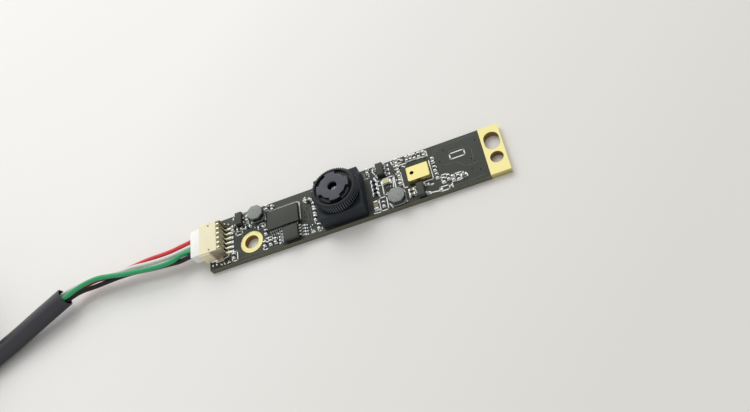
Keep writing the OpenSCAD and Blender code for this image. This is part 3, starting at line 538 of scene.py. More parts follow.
def frame_of(x: float, y: float, long: float, wide: float) -> Line:
    """Draws a closed frame with cut corners.

    Args:
        x: its middle along the board.
        y: its middle across the board.
        long: its length.
        wide: its width.

    Returns:
        Its corners, the first one twice.
    """
    cut = 0.15
    a, b = long / 2, wide / 2
    c, d = a - cut, b - cut
    ring = [(-c, -b), (c, -b), (a, -d), (a, d), (c, b), (-c, b), (-a, d), (-a, -d), (-c, -b)]
    return [(x + u, y + v) for u, v in ring]


def at(x: float, y: float, z: float, turn: float = 0.0, scale: Point = (1, 1, 1)) -> Matrix:
    """Returns a place with a turn about the upright, in degrees, and a size."""
    turned = Matrix.Translation((x, y, z)) @ Matrix.Rotation(math.radians(turn), 4, "Z")
    return turned @ Matrix.Diagonal((*scale, 1))


def settle(piece: Piece, finish: Finish, body: str = BOARD) -> Piece:
    """Brings a piece from millimetres to metres and puts it on its body.

    Args:
        piece: the finished piece.
        finish: what it is made of.
        body: the body that it moves with.

    Returns:
        The piece.
    """
    fix_place(piece)
    piece.scale = (MM, MM, MM)
    fix_place(piece)
    if not piece.data.materials:
        piece.data.materials.append(finish.material())
    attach(piece, body)
    log.info("%s: %d faces", piece.name, len(piece.data.polygons))
    return piece


def traced(node: str, finish: Finish) -> Piece:
    """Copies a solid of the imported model, in millimetres, with its faces merged.

    Args:
        node: the solid's name.
        finish: what it is made of.

    Returns:
        The copy.
    """
    piece = bpy.data.objects.new(f"{node}_form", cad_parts[node].data.copy())
    bpy.context.collection.objects.link(piece)
    piece.data.materials.clear()
    piece.data.materials.append(finish.material())
    piece.data.transform(Matrix.Scale(1 / MM, 4))
    with editing(piece):
        bpy.ops.mesh.select_all(action="SELECT")
        bpy.ops.mesh.customdata_custom_splitnormals_clear()
        bpy.ops.mesh.remove_doubles(threshold=WELD)
        bpy.ops.mesh.dissolve_limited(angle_limit=math.radians(ONE_FACE_ANGLE))
    return piece


def soften(
    node: str, finish: Finish, width: float, body: str = BOARD, segments: int = 2,
    piece: Piece | None = None,
) -> Piece:
    """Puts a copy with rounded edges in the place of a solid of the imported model.

    Args:
        node: the solid's name.
        finish: what it is made of.
        width: width of the rounding.
        body: the body that it moves with.
        segments: steps of the rounding.
        piece: the copy, where it has been worked on.

    Returns:
        The copy.
    """
    piece = round_edges(traced(node, finish) if piece is None else piece, width, segments)
    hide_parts(node)
    return settle(piece, finish, body)


def coat(node: str, finish: Finish) -> None:
    """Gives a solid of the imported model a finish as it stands."""
    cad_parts[node].data.materials.clear()
    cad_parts[node].data.materials.append(finish.material())


# --- Camera, floor and light ---


@dataclass
class Viewpoint:
    """Where the camera stands, in millimetres, and how it is turned."""

    place: Point = (29.215, -78.376, 104.047)
    right: Point = (0.92762, -0.15465, -0.34002)
    up: Point = (0.31926, 0.80079, 0.50676)
    back: Point = (0.19392, -0.57863, 0.7922)
    lens: float = 36.215

    def build(self) -> None:
        """Adds the camera."""
        camera = add("camera", bpy.ops.object.camera_add)
        turn = Matrix((self.right, self.up, self.back)).transposed().to_4x4()
        camera.matrix_world = Matrix.Translation(Vector(self.place) * MM) @ turn
        camera.data.lens = self.lens
        camera.data.sensor_width = 36.0
        camera.data.clip_start = 0.001
        bpy.context.scene.camera = camera


@dataclass(frozen=True)
class Lamp:
    """A square soft lamp that points at the board, placed and sized in metres."""

    name: str
    place: Point
    size: float
    power: float
    in_gloss: bool = True

    def hang(self) -> None:
        """Hangs the lamp and turns it to the board."""
        lamp = add(self.name, bpy.ops.object.light_add, type="AREA", location=self.place)
        lamp.data.energy = self.power
        lamp.data.size = self.size
        lamp.rotation_euler = (-Vector(self.place)).to_track_quat("-Z", "Y").to_euler()
        lamp.visible_glossy = self.in_gloss


@dataclass
class Studio:
    """A pale table, in metres, under soft light from behind and from the left."""

    floor_size: float = 6.0
    sky: float = 0.52
    lamps: tuple[Lamp, ...] = (
        Lamp("key_lamp", (-0.22, 0.62, 0.74), 0.62, 4.0, in_gloss=False),
        Lamp("wide_lamp", (-0.22, 0.66, 0.82), 1.9, 6.9),
    )
    # bright to dim is a painted shade: the table's colour darkens towards the front right where the
    # light falls off.
    bright: Colour = (237, 236, 233)
    dim: Colour = (219, 217, 212)
    fade_start: float = 0.52
    fade_turn: float = 38.0
    fade_rate: float = 9.0

    def build(self) -> None:
        """Adds the floor, the lamps and the sky."""
        bpy.context.scene.view_settings.view_transform = "Standard"
        self.lay_floor()
        for lamp in self.lamps:
            lamp.hang()
        self.fill_sky()

    def lay_floor(self) -> None:
        """Lays the table top, its tone falling off towards the front right as a painted shade that
        stands in for the light's falloff.
        """
        floor = add("table_top", bpy.ops.mesh.primitive_plane_add, size=self.floor_size)
        made = bpy.data.materials.new("table_top")
        made.use_nodes = True
        tree = made.node_tree
        shader = tree.nodes["Principled BSDF"]
        shader.inputs["Roughness"].default_value = 0.8
        shader.inputs["Specular IOR Level"].default_value = 0.1
        place = tree.nodes.new("ShaderNodeTexCoord")
        turn = tree.nodes.new("ShaderNodeMapping")
        turn.inputs["Location"].default_value = (self.fade_start, 0.0, 0.0)
        turn.inputs["Rotation"].default_value = (0.0, 0.0, math.radians(self.fade_turn))
        turn.inputs["Scale"].default_value = (self.fade_rate,) * 3
        # Painted shade: the colour ramps from bright to dim across the table.
        slope = tree.nodes.new("ShaderNodeTexGradient")
        ramp = tree.nodes.new("ShaderNodeValToRGB")
        ramp.color_ramp.elements[0].color = linear(self.bright)
        ramp.color_ramp.elements[1].color = linear(self.dim)
        tree.links.new(place.outputs["Object"], turn.inputs["Vector"])
        tree.links.new(turn.outputs["Vector"], slope.inputs["Vector"])
        tree.links.new(slope.outputs["Fac"], ramp.inputs["Fac"])
        tree.links.new(ramp.outputs["Color"], shader.inputs["Base Color"])
        floor.data.materials.append(made)

    def fill_sky(self) -> None:
        """Fills the sky with plain light, and shows it white in gloss and glass."""
        world = bpy.data.worlds.new("plain_sky")
        bpy.context.scene.world = world
        world.use_nodes = True
        tree = world.node_tree
        sky = tree.nodes["Background"]
        sky.inputs["Color"].default_value = (1.0, 1.0, 1.0, 1.0)
        path = tree.nodes.new("ShaderNodeLightPath")
        seen = path.outputs["Is Camera Ray"]
        for ray in ("Is Glossy Ray", "Is Transmission Ray"):
            either = tree.nodes.new("ShaderNodeMath")
            either.operation = "MAXIMUM"
            tree.links.new(seen, either.inputs[0])
            tree.links.new(path.outputs[ray], either.inputs[1])
            seen = either.outputs["Value"]
        level = tree.nodes.new("ShaderNodeMapRange")
        level.inputs["To Min"].default_value = self.sky
        level.inputs["To Max"].default_value = 1.0
        tree.links.new(seen, level.inputs["Value"])
        tree.links.new(level.outputs["Result"], sky.inputs["Strength"])


# --- Wires and cable ---


def cord_curve(
    name: str, points: Sequence[Point], diameter: float, finish: Finish
) -> Piece:
    """Lays a round cord along points.

    Args:
        name: name of the piece.
        points: the places that it passes.
        diameter: its diameter.
        finish: what it is made of.

    Returns:
        The cord, a curve of one open spline, in metres.
    """
    shape = bpy.data.curves.new(name, "CURVE")
    shape.dimensions = "3D"
    shape.bevel_depth = 1.0
    shape.bevel_resolution = 4
    shape.resolution_u = 8
    shape.use_fill_caps = True
    spline = shape.splines.new("BEZIER")
    spline.bezier_points.add(len(points) - 1)
    for knot, point in zip(spline.bezier_points, points):
        knot.co = Vector(point) * MM
        knot.handle_left_type = knot.handle_right_type = "AUTO"
        knot.radius = diameter / 2 * MM
    shape.materials.append(finish.material())
    piece = bpy.data.objects.new(name, shape)
    bpy.context.collection.objects.link(piece)
    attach(piece, BOARD)
    return piece


def span_of(points: Sequence[Point]) -> float:
    """Returns the length of a route through points."""
    return sum((Vector(b) - Vector(a)).length for a, b in zip(points, points[1:]))


@dataclass
class Wire:
    """One insulated wire from the plug into the sleeve."""

    colour: str
    finish: Finish
    points: list[Point]
    diameter: float = 0.9

    def build(self, on_it: list[Piece]) -> None:
        """Lays the wire.

        Args:
            on_it: the pieces that sit on it; not used.
        """
        name, slot = f"{self.colour}_wire", f"wire_{self.colour}"
        wire = cord_curve(f"{name}_lay", self.points, self.diameter, self.finish)
        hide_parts(name)
        log.info("%s: %.1f mm", name, span_of(self.points))


WIRES = [
    Wire("red", RED, [
        (-30.6, 1.5, 2.7), (-33.3, 1.2, 2.6), (-35.1, 1.05, 2.5), (-40.55, 1.1, 2.3),
        (-43.35, 1, 2.1), (-46.15, 0.8, 1.95), (-48.95, 0.8, 1.85), (-51.75, 1, 1.85),
        (-55.3, 0.3, 1.9), (-57.15, -0.65, 2.1), (-60.7, -2.95, 2.25),
    ]),
    Wire("white", WHITE, [
        (-30.6, 0.5, 2.7), (-33.25, 0.15, 2.65), (-35, -0.1, 2.7), (-40.15, -0.05, 2.8),
        (-42.8, 0.15, 2.9), (-45.45, 0.15, 2.9), (-48.15, 0.3, 2.9), (-50.85, 0.65, 2.9),
        (-54.35, 0.25, 3.1), (-58, -0.55, 3.1), (-61.1, -2.25, 2.8),
    ]),
    Wire("green", GREEN, [
        (-30.6, -0.5, 2.7), (-33.05, -0.9, 3), (-34.55, -1.75, 3.35), (-39.6, -1.8, 3.6),
        (-42.2, -1.45, 3.65), (-44.8, -1.1, 3.75), (-47.45, -0.6, 3.85), (-50.1, -0.25, 3.95),
        (-53.55, -0.85, 4.1), (-56.85, -1.95, 3.95), (-60.9, -2.75, 3.6),
    ]),
    Wire("black", BLACK, [
        (-30.6, -1.5, 2.7), (-33.55, -1.5, 2.2), (-35.45, -1.2, 1.95), (-40.7, -0.65, 1.95),
        (-43.4, -0.3, 2), (-46.1, -0.15, 1.95), (-48.9, -0.2, 1.9), (-51.65, -0.3, 1.85),
        (-55, -0.65, 2.2), (-57, -1.65, 2.6), (-60.55, -3.5, 3),
    ]),
]


@dataclass
class Cable:
    """The jacketed cable: a run out of the sleeve, a tied hank, and a tail to the USB plug.

    The turns of the hank are given by radius and height, from the first to the last.
    """

    diameter: float = 3.0
    near: Flat = (-92.0, -4.0)
    far_x: float = -137.0
    front_step: float = 9.0
    front_points: int = 5
    back_steps: int = 23
    fold_steps: int = 12
    shift_length: float = 12.5
    first_shift: float = -132.0
    stagger: float = 5.3
    turns: tuple[Flat, ...] = (
        (12, 1.9), (9, 1.9), (9, 4.9), (12, 4.9), (12, 7.9), (9, 7.9),
    )
    run: tuple[Point, ...] = (
        (-61.3, -3.1, 2.9), (-63.9, -4.3, 2.7), (-66.6, -5.5, 2.4), (-69.3, -6.7, 2.2),
        (-72, -7.9, 2.1), (-75, -9.4, 2), (-77, -10.6, 1.9), (-79, -12.2, 1.8),
        (-81.2, -13.9, 1.8), (-84, -15.4, 1.9), (-87.5, -16, 1.9),
    )
    tail: tuple[Point, ...] = (
        (-136, 5, 8.2), (-132, 5, 9), (-128, 5, 10), (-124, 5, 10.8), (-120, 5, 11.2),
        (-116, 5, 11.4), (-112, 5, 11.4), (-108, 5, 11.3), (-104, 5.2, 11.2), (-96, 6.6, 10.9),
        (-88.6, 8, 10.9), (-81.7, 5.4, 10.9), (-79, -1, 11), (-81.6, -7.4, 11.6),
        (-88, -10, 12.8), (-95, -10, 13.5), (-103, -10, 13.6),
    )

    def fold(self, x: float, radius: float, z: float, start: float) -> list[Point]:
        """Returns half a turn round a fold's middle, clockwise from an angle in degrees."""
        steps = self.fold_steps
        return [
            (x + radius * math.cos(a), self.near[1] + radius * math.sin(a), z)
            for a in (math.radians(start - 180 * k / steps) for k in range(steps + 1))
        ]

    def hank(self) -> list[Point]:
        """Returns the route of every turn of the hank.

        Each turn moves to the next one's place on the back run, the last turn first,
        so that no two turns meet.
        """
        near_x, middle_y = self.near
        route: list[Point] = []
        last = len(self.turns) - 1
        for k, (radius, z) in enumerate(self.turns):
            for j in range(self.front_points):
                route.append((near_x - j * self.front_step, middle_y - radius, z))
            route += self.fold(self.far_x, radius, z, -90)
            if k == last:
                break
            start = self.first_shift + (last - 1 - k) * self.stagger
            next_radius, next_z = self.turns[k + 1]
            for j in range(1, self.back_steps):
                x = self.far_x + j * (near_x - self.far_x) / self.back_steps
                share = min(1.0, max(0.0, (x - start) / self.shift_length))
                share = 0.5 - 0.5 * math.cos(math.pi * share)
                route.append((
                    x, middle_y + radius + share * (next_radius - radius), z + share * (next_z - z),
                ))
            route += self.fold(near_x, next_radius, next_z, 90)[:-1]
        return route

    def build(self, on_it: list[Piece]) -> None:
        """Lays the whole cable.

        Args:
            on_it: the pieces that sit on it; not used.
        """
        points = [*self.run, *self.hank(), *self.tail]
        cable = cord_curve("cable_lay", points, self.diameter, CABLE)
        cable.data.resolution_u = 3
        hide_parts("cable_run", "cable_hank", "cable_tail")
        log.info("cable: %.0f mm", span_of(points))


@dataclass
class Sleeve:
    """The shrink sleeve that holds the wires and the cable's end."""

    bore: float = 3.2
    wall: float = 0.25
    sides: int = 32
    edge: float = 0.05
    edge_angle: float = 50.0
    points: tuple[Point, ...] = (
        (-57.5, -1.3, 3.15), (-60.5, -2.7, 2.95), (-63.9, -4.3, 2.7), (-66.6, -5.5, 2.4),
        (-69.3, -6.7, 2.2), (-72, -7.9, 2.1), (-75, -9.4, 2),
    )

    def build(self) -> Piece:
        """Lays the sleeve.

        Returns:
            The sleeve, a tube with a real wall.
        """
        curve = cord_curve("sleeve", self.points, self.bore + 2 * self.wall, SLEEVE)
        curve.data.use_fill_caps = False
        curve.data.bevel_resolution = self.sides // 4 - 1
        pick(curve)
        bpy.ops.object.convert(target="MESH")
        sleeve = bpy.context.active_object
        sleeve.name = "shrink_sleeve"
        modify(sleeve, "SOLIDIFY", thickness=self.wall * MM, offset=-1)
        round_edges(sleeve, self.edge * MM, angle=self.edge_angle)
        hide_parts("cable_sleeve")
        return sleeve


@dataclass
class UsbPlug:
    """The plug on the cable's far end."""

    shell_edge: float = 0.12
    tongue_edge: float = 0.1
    contact_edge: float = 0.05
    grip_edge: float = 0.35

    def build(self) -> list[Piece]:
        """Dresses the plug's parts."""
        return [
            soften("usb_shell", STEEL, self.shell_edge),
            soften("usb_tongue", TONGUE, self.tongue_edge),
            soften("usb_contacts", GOLD, self.contact_edge),
            soften("usb_grip", GRIP, self.grip_edge, segments=3),
        ]


@dataclass
class Tie:
    """The strap round the folded cable."""

    edge: float = 0.12

    def build(self) -> Piece:
        """Dresses the strap."""
        return soften("hank_tie", TIE, self.edge)


# --- Board ---


@dataclass
class Board:
    """The strip of laminate with its mask, gold end, gold ring and tinned pads.

    Walls of holes lie deeper than rim inside the outline and carry painted shade, and the cut
    laminate of the header end lies within end_depth of it and carries a painted highlight.
    """

    edge: float = 0.03
    end_edge: float = 0.05
    pad_edge: float = 0.015
    half_length: float = 28.0
    half_width: float = 5.0
    rim: float = 0.1
    end_depth: float = 1.0
    facing: float = 0.5

    def build(self) -> None:
        """Dresses the board and its plating."""
        self.dress_strip()
        self.dress_plating("end_plating", self.end_edge)
        self.dress_plating("mount_ring", self.edge)
        soften("solder_pads", TIN, self.pad_edge, segments=1)

    def dress_strip(self) -> None:
        """Rounds the strip and shows its laminate on the cut edges, with a painted highlight on the
        header end.
        """
        strip = traced("circuit_board", MASK)
        end = self.end_depth - self.half_length
        tint(strip, LAMINATE, lambda middle, normal: abs(normal.z) < self.facing)
        # Painted highlight: the header end face gets a paler copy of the laminate.
        tint(strip, CUT_END_AND_HIGHLIGHT, lambda middle, normal: normal.x < -self.facing and middle.x < end)
        soften("circuit_board", MASK, self.edge, piece=strip)

    def dress_plating(self, node: str, width: float) -> None:
        """Rounds a plated piece and paints shade on the walls of its holes.

        Args:
            node: the plated piece's name.
            width: width of the rounding.
        """
        piece = traced(node, GOLD)
        x, y = self.half_length - self.rim, self.half_width - self.rim
        # Painted shade: the hole walls get the darker gold.
        tint(piece, BORE_GOLD_SHADE, lambda middle, normal: (
            abs(normal.z) < WALL_RISE and middle.x < x and abs(middle.y) < y))
        soften(node, GOLD, width, piece=piece)


@dataclass
class BoardPrint:
    """White print, masked traces, via dimples and solder drops on the board's face.

    A frame and a drop are given by their middle, length and width.
    """

    face: float = 1.2
    ink: float = 0.014
    ink_width: float = 0.2
    trace: float = 0.012
    trace_width: float = 0.14
    via_radius: float = 0.22
    via_ring: float = 0.06
    via_sink: float = 0.006
    drop_height: float = 0.3
    outlines: tuple[Line, ...] = (
        [(-24.55, -2.15), (-24.6, -2.85), (-25.5, -2.9)],
        [(-24.15, -2.05), (-24.2, -3.2), (-25.45, -3.5)], [(-16.65, 4.25), (-16.5, 1.9)],
        [(-10.15, 3.2), (-9.7, 3.15), (-9.75, -0.6), (-10.1, -0.65)],
        [(-8.45, 3.65), (-8.85, 3.3), (-8.8, 2.75), (-8.35, 2.55)],
        [(8.35, 4.75), (8.5, 4), (9.1, 3.9)], [(8.14, 1.15), (7.97, -0.65)],
        [(6.7, -3.8), (7.1, -4.75)], [(9.3, -1.8), (9.53, -1.9), (9.55, -4.55), (9.8, -4.4)],
        [(14.95, 2.2), (15.05, -1.8), (13.1, -1.8)],
        [(9.65, 1.75), (9.75, -1.6), (10.3, -1.7)], [(3.7, -4.75), (4.8, -4.85)],
        [(11.9, 4.85), (14.85, 4.6), (14.92, 3.35)], [(3.15, 2.9), (3.15, 4.4), (3.75, 4.5)],
        [(-17.35, -4.2), (-17.1, -4.5), (-16.6, -4.45)],
        [(-14.55, -2.1), (-14.2, -1.7), (-13.6, -1.75)], [(16.35, -2), (16.4, -3.3)],
        [(18.2, -2.3), (18, -3)], [(20.15, -2.4), (20.3, -3.6)], [(8.7, 3.5), (10.9, 3.35)],
        [(13.6, -4.35), (15.5, -4.62)], [(13.2, -2.15), (13.9, -2.7), (14.8, -2.8)],
        [(-11.9, -2.2), (-11.7, -4.3)], [(17.9, -4.75), (17.9, -4)],
    )
    frames: tuple[Patch, ...] = (
        (-23, -3.7, 1.05, 1.9), (-17.25, 0.8, 1.15, 1), (-20.55, 1.95, 1.5, 0.85),
        (-6.35, -4.05, 0.75, 0.75), (7.2, 0, 2.3, 3.4), (5.65, -3.4, 1.4, 2.7),
        (3.55, 3.7, 0.85, 1.5), (16.9, -2.05, 1.3, 0.75), (16.5, -4.45, 1.7, 0.85),
        (19.3, -3, 1.5, 1.45), (-21.9, 0.95, 1.3, 0.8), (9.6, 4.3, 1.5, 0.8),
        (13.7, 4.1, 1.8, 1.3), (11.9, -2.6, 1.35, 0.8), (-16.2, -2.6, 1.5, 0.8),
        (20, 1.5, 2.6, 1.2), (5.45, 1.1, 0.9, 1), (13.15, 1.2, 1, 1),
    )
    marks: tuple[Line, ...] = (
        [(-25.85, -4.35), (-25.6, -4.6)], [(-25.2, -4.3), (-25, -4.65)],
        [(-24.3, -4.3), (-24, -4.6)], [(-24.45, -4.65), (-24.2, -4.35)],
        [(-7.95, -3.9), (-7.55, -4.3)], [(-7.95, -4.3), (-7.55, -3.9)],
        [(4.9, 4.6), (5.25, 3.9)], [(4.7, 4), (5.05, 3.3)], [(5.2, 4.8), (5.5, 4.2)],
        [(8.9, -0.2), (9.3, -0.6)], [(10.2, 3), (10.6, 2.7)],
        [(14, -2.6), (14.5, -2.9)], [(4.9, 1.7), (5.2, 1.3)], [(5, -1.2), (5.3, -1.6)],
    )
    traces: tuple[Line, ...] = (
        [(13.05, -2.1), (13.8, -2.7), (15.5, -2.85), (16.4, -3)],
        [(14.1, -4.4), (15.6, -4.65), (20.5, -4.65), (23.5, -4.4)],
        [(17.2, 0.1), (19.4, 0.1), (21, -1.5), (23.1, -1.5)],
        [(15.5, 2.6), (17.4, 4.2), (23.8, 4.2)],
        [(15.9, 3.4), (16.9, 4.55), (23.6, 4.55)],
        [(-23.3, 0.6), (-21.6, 0.6), (-21.2, 0.2), (-21.2, -1.4)],
        [(-22.4, -2.2), (-21.6, -3.6), (-18.8, -4.1), (-17.6, -3.6)],
        [(-22, -4.5), (-12, -4.6), (-3.8, -4.6)],
        [(-9, 1.9), (-8.2, 1.9), (-7.7, 1.4), (-7.7, -1.8)],
        [(-8.9, 1.3), (-8.3, 0.8), (-8.3, -1.6)],
        [(-9.2, 4.6), (-3.9, 4.6)], [(-9.2, 4.2), (-5.6, 4.2), (-4.9, 3.6)],
        [(18.6, 2.6), (21.8, 2.6), (22.5, 1.9), (22.5, -0.8)],
    )
    vias: tuple[Flat, ...] = (
        (22.55, -0.9), (23, -1.55), (23.1, -3.15), (17.2, 0.1), (18.6, 2.6), (16.8, 1.2),
        (-8.3, 0.8), (-7.7, 1.4), (-8.9, -1.2), (-8.3, -1.6), (-22.4, -2.2), (-21.2, -1.4),
        (17.9, 3.3), (21.8, -2.4), (-4, 4.6), (23.6, 3.2), (-8.9, 0.4), (-9.2, -1.4),
        (-8.6, -0.5), (-9.3, 2.3), (-8.5, 1.1), (-9, -0.6), (-8.4, 2), (22.1, -0.4),
    )
    drops: tuple[Patch, ...] = (
        (-26.85, -3.3, 1.75, 0.5), (-26.85, 3.3, 1.75, 0.5), (-27.35, -4.22, 0.42, 0.42),
        (-26.6, -4.24, 0.42, 0.42), (13.05, -2, 0.5, 0.42), (12.9, -4, 0.55, 0.5),
        (13.7, -4.3, 1.1, 0.28), (16, -4.5, 0.5, 0.5), (-6.4, -4, 0.3, 0.3),
        (-7.05, 2.03, 0.3, 0.34), (-7.03, 1.39, 0.3, 0.3), (-7.05, 0.42, 0.28, 0.3),
        (-7.05, -0.3, 0.3, 0.3), (-6.95, -0.95, 0.3, 0.36), (-6.97, -1.66, 0.3, 0.36),
        (8.9, 1.6, 0.42, 0.4), (9.2, 1, 0.4, 0.4), (8.75, 0.35, 0.42, 0.4),
        (8.9, 4.45, 0.34, 0.4), (9.35, 4.4, 0.34, 0.4), (10.15, 4.3, 0.34, 0.4),
        (8.9, 2.6, 0.4, 0.4), (10.5, 4.15, 0.34, 0.4), (9.6, 3, 0.4, 0.34),
        (-24.7, 3.9, 0.4, 0.4), (-23.9, 3.5, 0.4, 0.4), (-16.2, -2.6, 0.36, 0.4),
        (-15.8, -3.6, 0.4, 0.36), (-15.1, -3.65, 0.4, 0.36), (-14.1, -2.3, 0.36, 0.36),
        (5.1, 2, 0.34, 0.34), (5.25, -0.4, 0.34, 0.34), (-23.05, 2.9, 0.3, 0.36),
        (-7.61, -2.84, 0.36, 0.36), (-7.01, -2.66, 0.34, 0.42), (-8, -3.15, 0.3, 0.36),
        (-8.62, -2.45, 0.42, 0.36), (-8.62, -3.1, 0.42, 0.36), (-8.62, -3.75, 0.42, 0.36),
        (-8.62, -4.4, 0.42, 0.36), (-7.9, -3.7, 0.34, 0.34), (-7.3, -4.35, 0.36, 0.3),
        (-18.6, 0.8, 0.3, 0.36), (16, 0.2, 0.34, 0.34), (17.7, -4.4, 0.4, 0.4),
    )

    def build(self) -> None:
        """Prints, etches and solders the face."""
        self.print_ink()
        self.lay_traces()
        self.sink_vias()
        self.drop_solder()

    def print_ink(self) -> None:
        """Prints lines, frames and short marks."""
        lines = (*self.outlines, *(frame_of(*place) for place in self.frames), *self.marks)
        unit = stroke_unit("ink_stroke", self.ink)
        ink = spread(unit, "white_print", along(lines, self.ink_width, self.face))
        settle(ink, INK)

    def lay_traces(self) -> None:
        """Lays the copper that shows as low ridges under the mask."""
        unit = stroke_unit("trace_stroke", self.trace)
        traces = spread(unit, "masked_traces", along(self.traces, self.trace_width, self.face))
        settle(traces, TRACE)

    def sink_vias(self) -> None:
        """Models one via, a low ring with a painted shadow of its hole in the middle, and copies
        it.
        """
        via = add(
            "via", bpy.ops.mesh.primitive_cylinder_add,
            vertices=20, radius=self.via_radius, depth=self.trace,
        )
        via.data.materials.append(TRACE.material())
        with editing(via):
            choose(via, Kind.FACE, lambda middle, normal: normal.z > TOP_RISE)
            bpy.ops.mesh.inset(thickness=self.via_ring)
            bpy.ops.transform.translate(value=(0, 0, -self.via_sink))
        # Painted shade: the via's middle gets the near-black finish.
        tint(via, VIA_HOLE_SHADE, lambda middle, normal: (
            normal.z > TOP_RISE and middle.xy.length < self.via_ring))
        height = self.face + self.trace / 2
        vias = spread(via, "via_rings", [at(x, y, height) for x, y in self.vias])
        settle(vias, TRACE)

    def drop_solder(self) -> None:
        """Sets drops of solder on the board, flat below."""
        places = [
            at(x, y, self.face, scale=(long, wide, self.drop_height))
            for x, y, long, wide in self.drops
        ]
        drops = spread(blob_unit("solder_drop"), "solder_drops", places)
        settle(drops, SOLDER)


# --- Parts on the board ---


@dataclass
class SmallParts:
    """Chip resistors, chip capacitors, and the light and the diode by the microphone."""

    resistor_edge: float = 0.03
    capacitor_edge: float = 0.04
    end_edge: float = 0.05
    light_edge: float = 0.04
    window_draw: Flat = (1.35, 1.3)
    window_lift: float = 0.035
    diode: Flat = (7.05, -0.85)
    reach: float = 0.8

    def build(self) -> None:
        """Dresses the small parts."""
        soften("chip_resistors", RESISTOR, self.resistor_edge, segments=1)
        soften("chip_capacitors", CAPACITOR, self.capacitor_edge, segments=1)
        self.dress_ends()
        soften("status_led", LED_WHITE, self.light_edge)
        self.dress_window()
        soften("diode_body", CHIP, self.end_edge)

    def dress_ends(self) -> None:
        """Rounds the tinned ends and dulls those of the diode."""
        ends = traced("end_caps", CAP_END)
        x, y = self.diode
        tint(ends, DULL_END, lambda middle, normal: (
            abs(middle.x - x) < self.reach and abs(middle.y - y) < self.reach))
        soften("end_caps", CAP_END, self.end_edge, piece=ends)

    def dress_window(self) -> None:
        """Draws the light's window out to the housing's edge and rounds it."""
        window = traced("status_led_window", LED_WINDOW)
        low, high = bounds_of(window)
        with editing(window):
            bpy.ops.mesh.select_all(action="SELECT")
            bpy.ops.transform.resize(value=(*self.window_draw, 1), center_override=(low + high) / 2)
            bpy.ops.transform.translate(value=(0, 0, self.window_lift))
        soften("status_led_window", LED_WINDOW, self.end_edge, piece=window)


@dataclass
class Chips:
    """The packaged chips with their pins."""

    names: tuple[str, ...] = (
        "bridge_chip", "flash_chip", "left_regulator", "right_regulator", "audio_transistor",
    )
    edge: float = 0.05
    pin_edge: float = 0.035

    def build(self) -> None:
        """Dresses bodies and pins."""
        for name in self.names:
            soften(name, CHIP, self.edge)
            soften(f"{name}_pins", PIN, self.pin_edge)


@dataclass
class Coils:
    """The two power coils."""

    edge: float = 0.06

    def build(self) -> None:
        """Dresses cores, windings and resin."""
        for side in ("left", "right"):
            soften(f"{side}_coil_core", FERRITE, self.edge)
            coat(f"{side}_coil_winding", COPPER)
            soften(f"{side}_coil_resin", RESIN, self.edge)


@dataclass
class Microphone:
    """The gold can on its base, with the dies under it."""

    can_edge: float = 0.08
    base_edge: float = 0.02

    def build(self) -> None:
        """Dresses the can, its base and its dies."""
        soften("mic_can", MIC_GOLD, self.can_edge, segments=3)
        soften("mic_base", MIC_BASE, self.base_edge)
        coat("mic_die", SILICON)


# --- Lens ---


@dataclass
class LensHolder:
    """The square holder over the image sensor."""

    edge: float = 0.05

    def build(self) -> None:
        """Dresses the holder and what it covers."""
        soften("lens_holder", HOLDER, self.edge)
        coat("image_sensor", SILICON)
        coat("sensor_glass", GLASS_CLEAR)
        coat("ir_filter", FILTER)


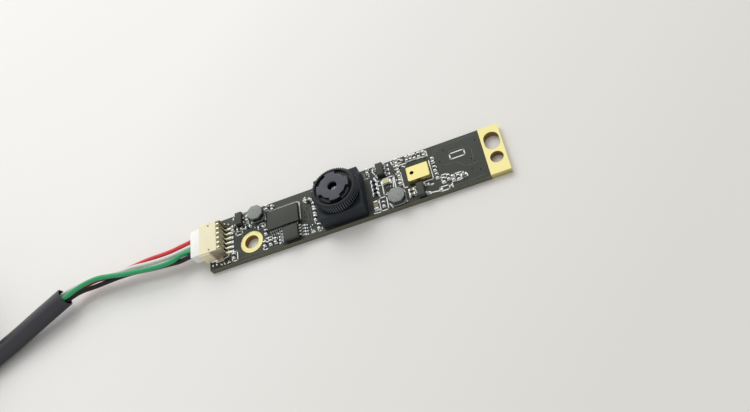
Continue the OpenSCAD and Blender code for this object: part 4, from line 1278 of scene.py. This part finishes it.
@dataclass
class FocusLens:
    """The knurled barrel with its front disc, its glass and the spacer between.

    The rim is what stands above rim_foot and outside rim_inner, and the tips of the
    teeth are the walls outside tooth_tip, paler than the barrel as a painted highlight.
    """

    axis: Flat = (-1.35, -0.25)
    rim_foot: float = 5.99
    rim_inner: float = 3.7
    rim_draw: float = 0.965
    tooth_tip: float = 4.1
    face_z: float = 6.6
    barrel_edge: float = 0.03
    disc_edge: float = 0.04

    def build(self) -> None:
        """Dresses the barrel, the disc and the glass."""
        self.dress_barrel()
        self.dress_disc()
        coat("lens_spacer", SPACER)
        for node in ("front_lens", "rear_lens"):
            soften(node, GLASS_CLEAR, 0, body=GLASS)

    def dress_barrel(self) -> None:
        """Draws the rim in, so that the teeth stand out past it, paints highlights on the tips of
        the teeth, and rounds the barrel.
        """
        barrel = traced("lens_barrel", LENS_BLACK)
        x, y = self.axis
        with editing(barrel):
            choose(barrel, Kind.VERT, lambda place, normal: (
                place.z > self.rim_foot
                and math.hypot(place.x - x, place.y - y) > self.rim_inner))
            bpy.ops.transform.resize(
                value=(self.rim_draw, self.rim_draw, 1), center_override=(x, y, self.rim_foot),
            )
        # Painted highlight: the tooth tips get the paler grey.
        tint(barrel, TOOTH_HIGHLIGHT, lambda middle, normal: (
            abs(normal.z) < WALL_RISE
            and math.hypot(middle.x - x, middle.y - y) > self.tooth_tip))
        soften("lens_barrel", LENS_BLACK, self.barrel_edge, BARREL, piece=barrel)

    def dress_disc(self) -> None:
        """Rounds the front disc and gives its upward face a paler copy of its finish, a painted
        sheen.
        """
        disc = traced("lens_front_disc", LENS_BLACK)
        # Painted sheen: the disc's top faces get the paler copy.
        tint(disc, LENS_FACE_SHEEN, lambda middle, normal: (
            normal.z > TOP_RISE and middle.z > self.face_z))
        soften("lens_front_disc", LENS_BLACK, self.disc_edge, BARREL, piece=disc)


# --- Header and plug ---


@dataclass
class Header:
    """The wire header on the board's end."""

    edge: float = 0.06
    tab_edge: float = 0.04

    def build(self) -> None:
        """Dresses the housing, its contacts and its tabs."""
        soften("header_housing", BEIGE, self.edge)
        soften("header_contacts", CONTACT, self.edge)
        soften("header_tabs", TAB, self.tab_edge)


@dataclass
class WirePlug:
    """The white plug in the header."""

    corner: float = 0.45
    edge: float = 0.1
    contact_edge: float = 0.03
    near: float = 0.02

    def build(self) -> list[Piece]:
        """Dresses the plug and its crimp contacts."""
        return [
            self.dress_housing(),
            soften("plug_contacts", CONTACT, self.contact_edge),
        ]

    def dress_housing(self) -> Piece:
        """Rounds the housing, its wire end the most.

        Returns:
            The housing.
        """
        housing = traced("plug_housing", PLUG)
        low, high = bounds_of(housing)
        near = self.near
        with editing(housing):
            choose(housing, Kind.EDGE, lambda middle, way: middle.x < low.x + near and (
                middle.y < low.y + near or middle.y > high.y - near or middle.z > high.z - near))
            bpy.ops.mesh.bevel(offset=self.corner, segments=4)
        return soften("plug_housing", PLUG, self.edge, piece=housing)


def main() -> None:
    """Builds and dresses the whole module."""
    logging.basicConfig(level=logging.INFO, format="%(name)s %(message)s")
    Viewpoint().build()
    Studio().build()
    wire_plug = WirePlug().build()
    for wire, on_it in zip(WIRES, (wire_plug, [], [], [])):
        wire.build(on_it)
    Cable().build([Sleeve().build(), Tie().build(), *UsbPlug().build()])
    parts = (
        Board, BoardPrint, SmallParts, Chips, Coils, Microphone, LensHolder, FocusLens, Header,
    )
    for part in parts:
        part().build()
    bpy.context.view_layer.update()


if __name__ == "__main__":
    main()
